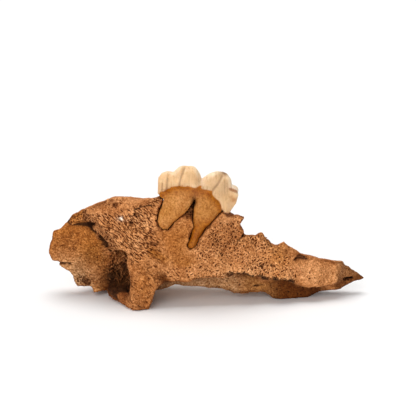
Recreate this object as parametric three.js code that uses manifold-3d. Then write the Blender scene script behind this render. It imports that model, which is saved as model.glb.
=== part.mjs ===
// A fossil cave bear jaw: a broken piece of upper jaw that lies teeth up, with one molar standing in its
// sockets. Millimetres, +Z up. X runs along the tooth row towards the snout, and Y from the cheek side to
// the palate side.
import * as THREE from "three";
import { mergeVertices } from "three/addons/utils/BufferGeometryUtils.js";
import Module from "manifold-3d";

const BONE_CELL = 2.15; // size of the grid that the bone's surface is drawn on
const TOOTH_CELL = 1.5;
const SOCKET_GAP = 0.45; // the dark line round the molar's roots
const CHEEK_WALL = 5.5; // thickness of the cheek's bone plate
const LEDGE_WALL = 3.9; // and where it ends in the broken ledge
const LEDGE_REACH = 3; // how far the broken face of the ledge runs on past its crest
const LEDGE_BEVEL = 0.6; // and how steeply it falls back
const TOP_TAPER = 0.3; // how fast the broken upper edges draw in towards the palate side
const SOCKET_WALL = 5.4; // thickness of the eye socket's inner wall
const PALATE_PLATE = 5.6;
const HEEL_PLATE = 4.8;
const WEATHERING = 0.45; // height of the swells in the worn bone

// ---------------------------------------------------------------- forms, as distances: below zero is inside

const mix = (a, b, t) => a + (b - a) * t;
const clamp01 = (t) => Math.min(1, Math.max(0, t));
const smoothstep = (a, b, t) => {
  const s = clamp01((t - a) / (b - a));
  return s * s * (3 - 2 * s);
};

// The nearer of two surfaces, with a fillet of about k between them, and the cut of one by the other.
function join(a, b, k) {
  const h = Math.max(k - Math.abs(a - b), 0) / k;
  return Math.min(a, b) - (h * h * k) / 4;
}
const cut = (a, b, k) => -join(-a, -b, k);
// A plate of the given thickness behind a face.
const plate = (v, face, thickness) => Math.abs(v - face - thickness / 2) - thickness / 2;

// Signed distance to a closed outline of [u, v] points.
function outline(points, u, v) {
  let nearest = Infinity;
  let inside = false;
  for (let i = 0, j = points.length - 1; i < points.length; j = i++) {
    const [ax, ay] = points[j];
    const [bx, by] = points[i];
    const ex = bx - ax;
    const ey = by - ay;
    const t = clamp01(((u - ax) * ex + (v - ay) * ey) / (ex * ex + ey * ey));
    nearest = Math.min(nearest, Math.hypot(u - ax - ex * t, v - ay - ey * t));
    if (ay > v !== by > v && u < ax + (ex * (v - ay)) / ey) inside = !inside;
  }
  return inside ? -nearest : nearest;
}

// A limb from a to b whose radius goes from ra to rb.
function limb(x, y, z, a, b, ra, rb) {
  const e = [b[0] - a[0], b[1] - a[1], b[2] - a[2]];
  const q = [x - a[0], y - a[1], z - a[2]];
  const t = clamp01((q[0] * e[0] + q[1] * e[1] + q[2] * e[2]) / (e[0] ** 2 + e[1] ** 2 + e[2] ** 2));
  return Math.hypot(q[0] - e[0] * t, q[1] - e[1] * t, q[2] - e[2] * t) - mix(ra, rb, t);
}

// An ellipsoid, turned by lean degrees about Y.
function lump(x, y, z, c, r, lean = 0) {
  const s = Math.sin(THREE.MathUtils.degToRad(lean));
  const k = Math.cos(THREE.MathUtils.degToRad(lean));
  const dx = x - c[0];
  const dz = z - c[2];
  const u = [(dx * k - dz * s) / r[0], (y - c[1]) / r[1], (dx * s + dz * k) / r[2]];
  const far = Math.hypot(...u);
  const slope = Math.hypot(u[0] / r[0], u[1] / r[1], u[2] / r[2]);
  return slope > 0 ? (far * (far - 1)) / slope : -Math.min(...r);
}

// A depth that passes near the given [u, v, depth] places and flows smoothly between them.
function relief(places, u, v) {
  let sum = 0;
  let weight = 0;
  for (const [pu, pv, depth] of places) {
    const w = 1 / ((u - pu) ** 2 + (v - pv) ** 2 + 1.5) ** 1.6;
    sum += w * depth;
    weight += w;
  }
  return sum / weight;
}

// A soft random swell from -1 to 1 whose humps are about the given size.
function ripple(x, y, z, size) {
  const p = [x / size, y / size, z / size];
  const base = p.map(Math.floor);
  const t = p.map((v, i) => smoothstep(0, 1, v - base[i]));
  let sum = 0;
  for (let corner = 0; corner < 8; corner++) {
    const bit = [corner & 1, (corner >> 1) & 1, corner >> 2];
    const [i, j, k] = base.map((b, axis) => b + bit[axis]);
    const hash = Math.sin(i * 127.1 + j * 311.7 + k * 74.7) * 43758.5453;
    const weight = bit.reduce((w, b, axis) => w * (b ? t[axis] : 1 - t[axis]), 1);
    sum += weight * (hash - Math.floor(hash));
  }
  return sum * 2 - 1;
}

// ---------------------------------------------------------------- the bone

// The cheek wall seen from the side, as [x, z]: down the broken ledge, round the spike, along the lower
// border, over the tip and back along the broken tooth row.
const CHEEK = [
  [-38.6, 29.2], [-34.5, 26], [-31.2, 23.3], [-28.4, 19.9], [-25.4, 17.2], [-25, 14.3], [-24.8, 11.8],
  [-24.6, 8.7], [-24.9, 6.2], [-24.2, 3.3], [-23.2, 1], [-22.2, -0.4], [-21.4, -1.2], [-19.4, -1.2],
  [-18.3, 1], [-17.3, 2.9], [-16.3, 5.2], [-15, 7], [-13, 8.3], [-8.8, 8.4], [-2.2, 8.9], [7.6, 9.8],
  [12.3, 10.2], [17.8, 8.6], [25.8, 7.6], [28.6, 5.7], [31, 4.9], [35.6, 4.6], [39.6, 5], [42.3, 5.8],
  [42, 7.8], [43.9, 11.2], [39.6, 12.5], [35.6, 13.7], [31.7, 14.7], [29.7, 15.8], [27.7, 16.9],
  [25.7, 18.4], [24.5, 19.5], [23.4, 18.7], [22.4, 18], [21.2, 18.3], [19.8, 20.2], [18.5, 21.7],
  [17.5, 22.9], [16.3, 22.5], [15.3, 21.9], [13.4, 22.1], [11.4, 22.4], [11.1, 24.1], [10.2, 25.4],
  [11.3, 27], [12, 28.6], [8.6, 29], [6.6, 29], [1.5, 32], [-6, 34], [-11.5, 36.8], [-13.4, 36.8],
  [-16.3, 35.4], [-18.4, 34], [-20.5, 33], [-24.7, 32.3], [-30.9, 32.6], [-34.8, 31.6],
];
// How far back its face lies, as [x, z, y].
const CHEEK_FACE = [
  [-20, 0, 0], [-19, 7, 0.2], [-21, 13, 1], [-25, 20, 3], [-31, 24, 6], [-37, 28.5, 9.5], [-36, 31, 14],
  [-28, 32.5, 13], [-20, 32.3, 9], [-16, 34, 7], [-24, 26, 5.5], [-15, 24, 3.5], [-12, 16, 2.2],
  [-9, 30, 3.6], [-3, 20, 3.8], [0, 28, 4.2], [4, 30, 5.5], [10, 25, 7.5], [8, 18, 6.8], [3, 11, 3.6],
  [-6, 10, 2.4], [12, 9.5, 4.2], [16, 21, 9], [24, 17, 10.5], [20, 12, 7.5], [23, 7, 5.4], [32, 12, 10.5],
  [33, 6, 7.8], [42, 10, 12.5], [41, 4, 10.5],
];
// The inner wall of the eye socket, as [x, z], and how far back its hollow face lies.
const ORBIT = [
  [-38.7, 28.6], [-40.8, 28.5], [-42.4, 28.7], [-44.4, 27.8], [-45.6, 26.3], [-46.6, 24.4], [-48.1, 23],
  [-50.1, 21.2], [-50.8, 19.5], [-51.5, 17.8], [-52.1, 15.8], [-52.1, 13.7], [-51.3, 11.7], [-50, 10.7],
  [-48.5, 9.5], [-46.9, 8.4], [-45.7, 7.7], [-44.7, 6.4], [-44, 4.7], [-42.9, 3.3], [-40.9, 2.8],
  [-38.7, 2.3], [-37.7, 1], [-36.3, 1.4], [-34.7, 1.5], [-31, 0.6], [-24, 0.6], [-12, 6], [8, 8], [8, 26],
  [-20, 29],
];
const ORBIT_FACE = [
  [-42, 27.5, 13], [-48, 22.5, 15], [-51.5, 15, 15.5], [-47, 9, 15.5], [-42, 2.5, 14.5], [-36, 0.5, 12.5],
  [-44, 17, 17], [-38, 20, 16], [-34, 23, 14], [-31.5, 18, 16.5], [-36, 12, 18], [-33, 12, 19.5],
  [-30, 14, 20.5], [-29.5, 9, 22], [-38, 7, 17], [-33, 5, 18.5], [-20, 10, 22], [-10, 15, 22],
  [-28, 1, 13],
];
// The palate from above, as [x, y], and the height of its vault, as [x, y, z].
const PALATE = [
  [-38, 13], [-41, 20], [-38, 28], [-31, 33], [-22, 34.5], [-12, 33], [0, 34], [11, 31], [19, 27],
  [26, 20], [14, 11], [-16, 8],
];
const VAULT = [
  [-38, 20, 27], [-34.5, 19, 30.6], [-31, 19, 32], [-26, 18, 31.9], [-19, 14, 32.2], [-18, 24, 29.7],
  [-33, 29, 27.6], [-10, 31, 26.5], [-3, 25, 30], [6, 24, 24.6], [12, 20, 17.8], [22, 19, 14.6],
  [3, 32, 23.4], [16, 27, 15],
];
// The band under the lower border, as [x, z], which turns in below the cheek wall and meets the ground.
const KEEL = [
  [-19.5, 12], [-18.5, 2.4], [-15, 2.5], [-12.9, 3.4], [-10.8, 4.8], [-5.6, 4.5], [0, 3.6], [6.8, 3.2],
  [8, 2], [12, 1.7], [17.9, 2.3], [19, 1.7], [21, -0.4], [24, -1.4], [31, -1.4], [36.5, 0.9],
  [44.7, 2.4], [47, 3], [52.6, 3.6], [50.9, 5.6], [49.4, 7.1], [47.4, 8.9], [45.4, 10.4], [43.4, 11.3],
  [38, 12.2], [30, 13.2], [20, 15.5], [0, 18],
];
// The crest behind the eye socket that the jaw's back corner stands on, as [x, z].
const HEEL = [
  [-42, 14], [-39, 6], [-36.5, 0.4], [-34.5, -1.4], [-27, -1.4], [-24.5, 2], [-18, 5], [-10, 14],
  [-20, 24],
];
// Where the teeth in front of the molar stood, as [x, y, floor, radius].
const EMPTY_SOCKETS = [[13.6, 15.5, 14, 3], [21.3, 16, 11, 2.4], [27.5, 16.5, 10, 1.6]];

// Where the wall has broken away between the molar's roots, as [x, z], and how deep.
const RECESS = [[-8.8, 28.9], [-7.5, 29.6], [-4.8, 28], [-3.2, 28.6], [-3.4, 36], [-9, 36]];
const RECESS_DEPTH = 2.4;

// How far an outline shrinks behind its face, where where is 1.
const drawnIn = (y, face, where) => TOP_TAPER * Math.max(0, y - face - 0.8) * where;

// 1 along the broken edge over the eye socket, less towards its upright end, 0 elsewhere.
const ledge = (x, z) =>
  (1 - smoothstep(-31, -25, x)) * (1 - smoothstep(28.5, 31, z)) * mix(0.3, 1, smoothstep(14.5, 18.5, z));

function boneField(x, y, z) {
  const face = relief(CHEEK_FACE, x, z);
  const wall = mix(LEDGE_WALL, CHEEK_WALL, smoothstep(-26, -18, x));
  const upper = smoothstep(-2, 2, z - 18.5 + 0.26 * x);
  const edge = outline(CHEEK, x, z) + drawnIn(y, face, upper);
  const broken = ledge(x, z);
  const bevel = LEDGE_BEVEL * broken * Math.max(0, edge + 0.3);
  const cheek = cut(edge - LEDGE_REACH * broken, Math.max(face + bevel - y, y - face - wall), 1.2);
  const hollow = relief(ORBIT_FACE, x, z);
  const rim = outline(ORBIT, x, z) + drawnIn(y, hollow, smoothstep(14, 18, z));
  const orbit = cut(rim, plate(y, hollow, SOCKET_WALL), 1.6);
  const palate = cut(outline(PALATE, x, y), plate(z, relief(VAULT, x, y) - PALATE_PLATE, PALATE_PLATE), 2);
  const front = mix(9.5, 13, smoothstep(15, 44, x)) + 0.5 * Math.max(0, x - 43);
  const back = mix(24, 19.5, smoothstep(5, 50, x));
  // The underside lifts towards the palate side.
  const rise = 0.22 * Math.max(0, y - 12.5) * (1 - smoothstep(4, 9, z));
  const rounding = mix(3, 1.2, smoothstep(34, 44, x));
  const border = outline(KEEL, x, z - rise) + drawnIn(y, front, smoothstep(6, 9, z));
  const keel = cut(border, cut(front - y, y - back, 1.4), rounding);
  let d = join(cheek, keel, 3.5);
  d = join(d, orbit, 1.5);
  d = join(d, palate, 3);
  d = join(d, lump(x, y, z, [-4.5, 15, 23], [15.5, 10.5, 9], 10), 3); // the tooth row's body
  d = join(d, lump(x, y, z, [-26, 17, 26], [12, 8, 5], -4), 2.5); // the corner over the pocket
  d = join(d, limb(x, y, z, [3, 16.5, 13], [22, 16.5, 9.5], 8, 6.2), 3); // towards the snout
  d = join(d, limb(x, y, z, [-22.5, 0.8, 1.5], [-31, 12.5, 1.8], 1.9, 1.8), 1.6); // the lip under the pocket
  d = join(d, cut(outline(HEEL, x, z), plate(y, 21.1 - 0.12 * z, HEEL_PLATE), 2), 3);
  d = join(d, lump(x, y, z, [-25, 14, 3], [8, 9, 1.8]), 1.5); // the pocket's floor
  d = cut(d, -limb(x, y, z, [-30, 12.5, 10], [-15, 13.5, 11.5], 6, 4), 1.5); // the pocket behind the ledge
  d = cut(d, -lump(x, y, z, [2, 37, 13.5], [24, 17, 8.5], -5), 2); // the hollow of the nose
  d = join(d, limb(x, y, z, [-44, 13.4, 25.2], [-38.8, 12.3, 26.9], 1.2, 1.3), 1); // the fold on the rim
  d = cut(d, -limb(x, y, z, [-37.5, 14.2, 24.2], [-31, 15.2, 17.8], 0.9, 2), 0.8); // the gap by the ledge
  d = cut(d, -Math.max(outline(RECESS, x, z), y - face - RECESS_DEPTH), 0.4);
  for (const [sx, sy, floor, r] of EMPTY_SOCKETS)
    d = cut(d, -limb(x, y, z, [sx, sy, floor + r], [sx + 1.5, sy, floor + 16], r, r), 1);
  d += WEATHERING * (ripple(x, y, z, 7) + 0.5 * ripple(x, y, z, 3.4));
  const roots = Math.min(outline(ROOT_BACK, x, z), outline(ROOT_FRONT, x, z)) - SOCKET_GAP;
  return cut(d, -Math.max(roots, y - face - 1.2), 0.2); // where the wall has broken off the roots
}

// ---------------------------------------------------------------- the molar

// The cheek side's cusps over the neck of the tooth, as [x, z].
const CUSPS = [
  [-15.9, 35.2], [-15.7, 40], [-14.6, 42], [-12.8, 42.8], [-10.9, 42.3], [-9, 44.4], [-6.2, 46.1],
  [-4, 44.6], [-2.5, 41.4], [-2, 39.8], [0.5, 41.7], [2.8, 42.7], [4.9, 42.9], [6.1, 41.8], [7.2, 40],
  [7.5, 37.5], [9.1, 36.5], [9.7, 35], [8.9, 32.3], [6.8, 29.3], [5, 29.4], [4.2, 31.6], [3.1, 33.9],
  [1.5, 35.7], [-0.3, 36.8], [-2.3, 37.4], [-4.7, 37.8], [-6.8, 38.4], [-8.8, 38.7], [-11.4, 38.2],
  [-13.5, 37],
];
// How far back the enamel lies, as [x, z, y].
const ENAMEL = [
  [-15.5, 36.5, 8], [-13, 37.5, 5.6], [-8.5, 39, 4.6], [-4, 38, 4.8], [-1.5, 37.5, 5.4], [2, 35.5, 4.8],
  [5, 32.5, 5.6], [8.5, 31.5, 8], [-12.8, 42.3, 8.5], [-6.2, 44.6, 9.5], [-2, 40, 9], [4.9, 42.4, 9.5],
  [8.8, 35.8, 8.5], [-7, 42, 6.5], [3.5, 39, 6.2], [-12, 40, 6.2], [-9.8, 41.5, 7.4], [7.4, 37, 8.4],
];
// The palate side's lower cusps, as [x, z].
const INNER_CUSPS = [
  [-15, 33], [-15, 37], [-12, 39.4], [-7, 41], [-4.5, 40.4], [-2, 36.8], [0, 38], [3.5, 38.8], [6, 37],
  [8.2, 33], [7, 30.5],
];
const ROOT_BACK = [
  [-12, 38.5], [-12.9, 36], [-13.9, 33.6], [-14.8, 31.3], [-15.5, 29.3], [-15.8, 27.4], [-15.2, 25.9],
  [-14.1, 24.9], [-12.6, 24.8], [-11.6, 25.9], [-10.3, 27.3], [-9, 28.6], [-7.5, 29.8], [-6.1, 31.4],
  [-4.8, 33.4], [-2, 38.5],
];
const ROOT_FRONT = [
  [-6.5, 38.5], [-3.9, 34.6], [-4.2, 32.2], [-4.4, 30.2], [-4.6, 28.3], [-4.4, 26.1], [-4.9, 24],
  [-5.7, 21.6], [-6.5, 20], [-6.3, 19], [-5.4, 18.6], [-4.3, 19.3], [-3.3, 20.4], [-2.9, 21.9],
  [-1.8, 23.4], [-1, 24.8], [0.5, 26.2], [1.6, 27.6], [2.6, 28.8], [4.1, 30.3], [4.3, 32.8], [1.5, 37],
];

function toothField(x, y, z) {
  const face = relief(ENAMEL, x, z);
  const crest = 19.6 + 1.3 * Math.exp(-(((x + 6.3) / 3.2) ** 2));
  const slope = y - (crest - 1.05 * (z - 34));
  let crown = cut(outline(CUSPS, x, z), cut(face - y, slope * 0.76, 2), 2.2);
  const inner = cut(y - 23.5 + 0.35 * (z - 34), 13 + 0.3 * (z - 34) - y, 2);
  crown = join(crown, cut(outline(INNER_CUSPS, x, z), inner, 2.5), 1);
  const wall = relief(CHEEK_FACE, x, z) - 0.6;
  const deep = mix(3.5, 10, smoothstep(18, 30, z));
  const [backRoot, frontRoot] = [ROOT_BACK, ROOT_FRONT].map((points) => {
    const edge = outline(points, x, z);
    const bulge = wall + 1.1 * smoothstep(-1.9, 0, edge); // full in the middle and sunk at its edges
    return cut(edge, cut(bulge - y, y - wall - deep, 1), 1);
  });
  const innerRoot = limb(x, y, z, [-4, 18.5, 33], [-5, 19.5, 22], 5, 2.2);
  const neck = limb(x, y, z, [-14, 8.6, 35.4], [-10.5, 8.4, 35.8], 1.4, 2);
  const roots = join(join(backRoot, frontRoot, 0.6), neck, 0.8);
  return join(join(crown, roots, 0.6), innerRoot, 1.5);
}

// ---------------------------------------------------------------- surfaces

const CORNERS = [0, 1, 2, 3, 4, 5, 6, 7].map((c) => [c & 1, (c >> 1) & 1, c >> 2]);

// Moves a point to the nearest place where the field is zero, by less than half a cell.
function settled(field, p, cell) {
  const e = cell * 0.1;
  const here = field(...p);
  const slope = [0, 1, 2].map((axis) => {
    const q = [...p];
    q[axis] += e;
    return (field(...q) - here) / e;
  });
  const steep = slope[0] ** 2 + slope[1] ** 2 + slope[2] ** 2;
  const move = THREE.MathUtils.clamp(here / Math.max(steep, 0.25), -cell * 0.45, cell * 0.45);
  return p.map((v, axis) => v - slope[axis] * move);
}

// Fills the grid points where two parts of the solid meet only along an edge or at a corner, so that its
// surface never touches itself.
function untangle(value, n, at) {
  const opposite = [[0, 7], [1, 6], [2, 5], [3, 4]];
  const faces = [[0, 1, 2, 3], [4, 5, 6, 7], [0, 1, 4, 5], [2, 3, 6, 7], [0, 2, 4, 6], [1, 3, 5, 7]];
  let filled = true;
  while (filled) {
    filled = false;
    for (let k = 0; k < n[2] - 1; k++)
      for (let j = 0; j < n[1] - 1; j++)
        for (let i = 0; i < n[0] - 1; i++) {
          const corner = CORNERS.map((c) => at(i + c[0], j + c[1], k + c[2]));
          const inside = corner.map((c) => value[c] < 0);
          const count = inside.filter(Boolean).length;
          const pinched = faces.filter(([a, b, c, d]) =>
            inside[a] === inside[d] && inside[b] === inside[c] && inside[a] !== inside[b]);
          if (count === 2 || count === 6) {
            const odd = count === 2;
            const alone = opposite.filter(([a, b]) => inside[a] === inside[b] && inside[a] === odd);
            pinched.push(...alone.filter(() => !pinched.length).map(() => [0, 1, 2, 3, 4, 5, 6, 7]));
          }
          if (!pinched.length) continue;
          const empty = pinched[0].filter((c) => !inside[c]);
          const nearest = empty.reduce((a, b) => (value[corner[a]] < value[corner[b]] ? a : b));
          value[corner[nearest]] = -1e-3;
          filled = true;
        }
  }
}

// Draws the surface where the field is zero, one vertex to each grid cell that it crosses.
function surface(field, low, high, cell) {
  const n = low.map((l, i) => Math.ceil((high[i] - l) / cell) + 1);
  const at = (i, j, k) => (k * n[1] + j) * n[0] + i;
  const value = new Float64Array(n[0] * n[1] * n[2]);
  for (let k = 0; k < n[2]; k++)
    for (let j = 0; j < n[1]; j++)
      for (let i = 0; i < n[0]; i++)
        value[at(i, j, k)] = field(low[0] + i * cell, low[1] + j * cell, low[2] + k * cell);
  untangle(value, n, at);
  const edges = [];
  for (let a = 0; a < 8; a++)
    for (const bit of [1, 2, 4]) if (!(a & bit)) edges.push([a, a | bit]);
  const vertexOf = new Int32Array(value.length).fill(-1);
  const positions = [];
  for (let k = 0; k < n[2] - 1; k++)
    for (let j = 0; j < n[1] - 1; j++)
      for (let i = 0; i < n[0] - 1; i++) {
        const v = CORNERS.map((c) => value[at(i + c[0], j + c[1], k + c[2])]);
        const sum = [0, 0, 0];
        let count = 0;
        for (const [a, b] of edges)
          if (v[a] < 0 !== v[b] < 0) {
            const t = v[a] / (v[a] - v[b]);
            for (let axis = 0; axis < 3; axis++) sum[axis] += mix(CORNERS[a][axis], CORNERS[b][axis], t);
            count++;
          }
        if (!count) continue;
        vertexOf[at(i, j, k)] = positions.length / 3;
        const place = [i, j, k].map((g, axis) => low[axis] + (g + sum[axis] / count) * cell);
        positions.push(...settled(field, place, cell));
      }
  const index = [];
  const gap = (a, b) =>
    Math.hypot(...[0, 1, 2].map((axis) => positions[a * 3 + axis] - positions[b * 3 + axis]));
  const step = [[1, 0, 0], [0, 1, 0], [0, 0, 1]];
  for (let k = 1; k < n[2] - 1; k++)
    for (let j = 1; j < n[1] - 1; j++)
      for (let i = 1; i < n[0] - 1; i++)
        for (let axis = 0; axis < 3; axis++) {
          const s = step[axis];
          const here = value[at(i, j, k)] < 0;
          if (here === value[at(i + s[0], j + s[1], k + s[2])] < 0) continue;
          const u = step[(axis + 1) % 3];
          const w = step[(axis + 2) % 3];
          let ring = [[0, 0], [1, 0], [1, 1], [0, 1]].map(([p, q]) =>
            vertexOf[at(i - u[0] * p - w[0] * q, j - u[1] * p - w[1] * q, k - u[2] * p - w[2] * q)]);
          if (!here) ring = ring.reverse();
          const [a, b, c, d] = ring;
          index.push(...(gap(a, c) < gap(b, d) ? [a, b, c, a, c, d] : [a, b, d, b, c, d]));
        }
  const geometry = new THREE.BufferGeometry();
  geometry.setAttribute("position", new THREE.Float32BufferAttribute(positions, 3));
  geometry.setIndex(index);
  return geometry;
}

const wasm = await Module();
wasm.setup();

function solidOf(geometry) {
  const merged = mergeVertices(geometry, 1e-4);
  const mesh = new wasm.Mesh({
    numProp: 3,
    vertProperties: merged.attributes.position.array,
    triVerts: new Uint32Array(merged.index.array),
  });
  return new wasm.Manifold(mesh);
}

const largest = (solid) => solid.decompose().reduce((a, b) => (a.volume() > b.volume() ? a : b));

function geometryOf(solid) {
  const mesh = solid.getMesh();
  const geometry = new THREE.BufferGeometry();
  geometry.setAttribute("position", new THREE.Float32BufferAttribute(mesh.vertProperties, 3));
  geometry.setIndex([...mesh.triVerts]);
  geometry.computeVertexNormals();
  return geometry;
}

const TOOTH_LOW = [-20, 0, 14];
const TOOTH_HIGH = [14, 28, 48];
const tooth = solidOf(surface(toothField, TOOTH_LOW, TOOTH_HIGH, TOOTH_CELL));
const socketField = (x, y, z) => toothField(x, y, z) - SOCKET_GAP;
const socket = solidOf(surface(socketField, TOOTH_LOW, TOOTH_HIGH, TOOTH_CELL));
const whole = solidOf(surface(boneField, [-56, -5, -4], [56, 42, 40], BONE_CELL));
const slab = new THREE.BoxGeometry(200, 200, 50).deleteAttribute("normal").deleteAttribute("uv");
const ground = solidOf(slab).translate(0, 0, -25);
// The largest piece leaves out the crumbs that the socket cuts loose.
const bone = largest(whole.subtract(socket).subtract(ground));

const jaw = new THREE.Group();
const finishes = {
  jaw_bone: new THREE.MeshStandardMaterial({ color: "#b07547", roughness: 0.85, metalness: 0 }),
  molar: new THREE.MeshStandardMaterial({ color: "#e6c394", roughness: 0.4, metalness: 0 }),
};
for (const [name, solid] of Object.entries({ jaw_bone: bone, molar: tooth })) {
  const mesh = new THREE.Mesh(geometryOf(solid), finishes[name]);
  mesh.name = name;
  jaw.add(mesh);
}

// The origin is the middle of the jaw's footprint, on the surface that it stands on.
const span = new THREE.Box3().setFromObject(jaw);
const middle = span.getCenter(new THREE.Vector3());
jaw.position.set(-middle.x, -middle.y, -span.min.z);

export default jaw;
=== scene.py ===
"""Finishes a fossil cave bear jaw: weathered, porous bone with a molar standing in its sockets.

The forms are distances in millimetres, below zero inside the jaw. X runs along the tooth row towards
the snout, Y from the cheek side to the palate side, and Z up from the surface that the jaw lies on. Each
form is drawn on a fine grid, turned into a mesh, moved to the frame of the part and scaled to metres.
"""
import itertools
import math

import bpy
import bmesh
import numpy as np
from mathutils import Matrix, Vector


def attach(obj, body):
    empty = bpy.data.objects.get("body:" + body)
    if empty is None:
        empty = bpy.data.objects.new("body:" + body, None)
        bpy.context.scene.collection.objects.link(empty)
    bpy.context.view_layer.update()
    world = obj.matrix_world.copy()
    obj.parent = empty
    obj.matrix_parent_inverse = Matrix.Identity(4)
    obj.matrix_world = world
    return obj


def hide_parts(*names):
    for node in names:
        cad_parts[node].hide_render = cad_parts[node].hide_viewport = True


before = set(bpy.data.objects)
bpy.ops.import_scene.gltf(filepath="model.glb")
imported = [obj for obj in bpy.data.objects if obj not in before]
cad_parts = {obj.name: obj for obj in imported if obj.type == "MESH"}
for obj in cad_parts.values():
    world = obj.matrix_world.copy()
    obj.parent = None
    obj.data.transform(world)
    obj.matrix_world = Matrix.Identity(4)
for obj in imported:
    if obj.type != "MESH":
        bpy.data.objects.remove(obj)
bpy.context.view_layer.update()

MM = 0.001
# The part's origin, the middle of its footprint, in the jaw's own millimetres.
ORIGIN = np.array([-1.3039, 16.6952, 0.0])
# The boxes that the bone and the molar are drawn in, and the spacing of their grids.
BONE_SPACE = ((-55, -3, -1.5), (54, 38, 38.5))
BONE_CELL = 0.47
TOOTH_SPACE = ((-19, 1, 15), (13, 27, 47))
TOOTH_CELL = 0.32
# How thick the walls and the plates are.
CHEEK_WALL = 5.5
LEDGE_WALL = 3.9
SOCKET_WALL = 5.4
PALATE_PLATE = 5.6
HEEL_PLATE = 4.8
LEDGE_REACH = 3  # how far the broken face of the ledge runs on past its crest
LEDGE_BEVEL = 0.6  # and how steeply it falls back
TOP_TAPER = 0.3  # how fast the broken upper edges draw in towards the palate side
SOCKET_GAP = 0.2  # the dark line round the molar's roots
WEATHERING = 0.45  # the height of the largest swells in the bone's surface
RIM_WANDER = (0.5, 2.3)  # how far a broken rim strays from its outline, and over what length
ROOT_WANDER = (0.22, 1.5)
CORNERS = list(itertools.product((0, 1), repeat=3))  # of a cube of the grid
SCATTER = (127.1, 311.7, 74.7)  # factors that give each point of a grid a value that looks random
SCATTER_REACH = 43758.5453


# ------------------------------------------------------------------ forms

def mix(a, b, t):
    return a + (b - a) * t


def smoothstep(a, b, t):
    s = np.clip((t - a) / (b - a), 0, 1)
    return s * s * (3 - 2 * s)


def join(a, b, k):
    """The nearer of two surfaces, with a fillet of about k between them."""
    h = np.maximum(k - np.abs(a - b), 0) / k
    return np.minimum(a, b) - h * h * k / 4


def cut(a, b, k):
    """What lies inside both surfaces, with an edge rounded by about k."""
    return -join(-a, -b, k)


def plate(v, face, thickness):
    """A plate of the given thickness behind a face."""
    return np.abs(v - face - thickness / 2) - thickness / 2


def outline(points, u, v):
    """Signed distance to a closed outline of (u, v) points."""
    u, v = np.broadcast_arrays(u, v)
    nearest = np.full(u.shape, 1e9)
    inside = np.zeros(u.shape, bool)
    for (ax, ay), (bx, by) in zip(points, points[1:] + points[:1]):
        ex, ey = bx - ax, by - ay
        t = np.clip(((u - ax) * ex + (v - ay) * ey) / (ex * ex + ey * ey), 0, 1)
        nearest = np.minimum(nearest, np.hypot(u - ax - ex * t, v - ay - ey * t))
        if ay != by:
            crossed = ((ay > v) != (by > v)) & (u < ax + ex * (v - ay) / ey)
            inside ^= crossed
    return np.where(inside, -nearest, nearest)


def relief(places, u, v):
    """A depth that passes near the given (u, v, depth) places and flows smoothly between them."""
    total = 0.0
    weight = 0.0
    for pu, pv, depth in places:
        w = 1 / ((u - pu) ** 2 + (v - pv) ** 2 + 1.5) ** 1.6
        total = total + w * depth
        weight = weight + w
    return total / weight


def limb(a, b, ra, rb):
    """A limb from a to b whose radius goes from ra to rb, with the box that holds it."""
    a, b = np.array(a, float), np.array(b, float)
    along = b - a

    def distance(x, y, z):
        q = (x - a[0], y - a[1], z - a[2])
        t = np.clip((q[0] * along[0] + q[1] * along[1] + q[2] * along[2]) / (along @ along), 0, 1)
        near = (q[0] - along[0] * t) ** 2 + (q[1] - along[1] * t) ** 2 + (q[2] - along[2] * t) ** 2
        return np.sqrt(near) - mix(ra, rb, t)

    reach = max(ra, rb)
    return distance, np.minimum(a, b) - reach, np.maximum(a, b) + reach


def lump(centre, radii, lean=0):
    """An ellipsoid, turned by lean degrees about Y, with the box that holds it."""
    s, c = math.sin(math.radians(lean)), math.cos(math.radians(lean))
    centre, radii = np.array(centre, float), np.array(radii, float)

    def distance(x, y, z):
        dx, dy, dz = x - centre[0], y - centre[1], z - centre[2]
        p = ((dx * c - dz * s) / radii[0], dy / radii[1], (dx * s + dz * c) / radii[2])
        far = np.sqrt(p[0] ** 2 + p[1] ** 2 + p[2] ** 2)
        slope = np.sqrt((p[0] / radii[0]) ** 2 + (p[1] / radii[1]) ** 2 + (p[2] / radii[2]) ** 2)
        return far * (far - 1) / np.maximum(slope, 1e-6)

    return distance, centre - max(radii), centre + max(radii)


def along_path(path, x, z):
    """The distance to a path of (x, z) points, and the share of the path gone by at its nearest place."""
    nearest = np.full(np.broadcast(x, z).shape, 1e9)
    share = np.zeros(nearest.shape)
    for i, (a, b) in enumerate(zip(path, path[1:])):
        ex, ez = b[0] - a[0], b[1] - a[1]
        t = np.clip(((x - a[0]) * ex + (z - a[1]) * ez) / (ex * ex + ez * ez), 0, 1)
        distance = np.hypot(x - a[0] - ex * t, z - a[1] - ez * t)
        share = np.where(distance < nearest, (i + t) / (len(path) - 1), share)
        nearest = np.minimum(nearest, distance)
    return nearest, share


def nearest_path(paths, x, z):
    """The distance to the nearest of some paths of (x, z) points."""
    return np.min([along_path(path, x, z)[0] for path in paths], axis=0)


def slit(path, wide, narrow, front, back):
    """A crack along (x, z) points that narrows as it goes, cut from the depth front to the depth back."""
    def distance(x, y, z):
        nearest, share = along_path(path, x, z)
        return np.maximum(nearest - mix(wide, narrow, share) / 2, plate(y, front, back - front))

    xz = np.array(path, float)
    low = np.array([xz[:, 0].min() - wide, front, xz[:, 1].min() - wide])
    high = np.array([xz[:, 0].max() + wide, back, xz[:, 1].max() + wide])
    return distance, low, high


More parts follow.
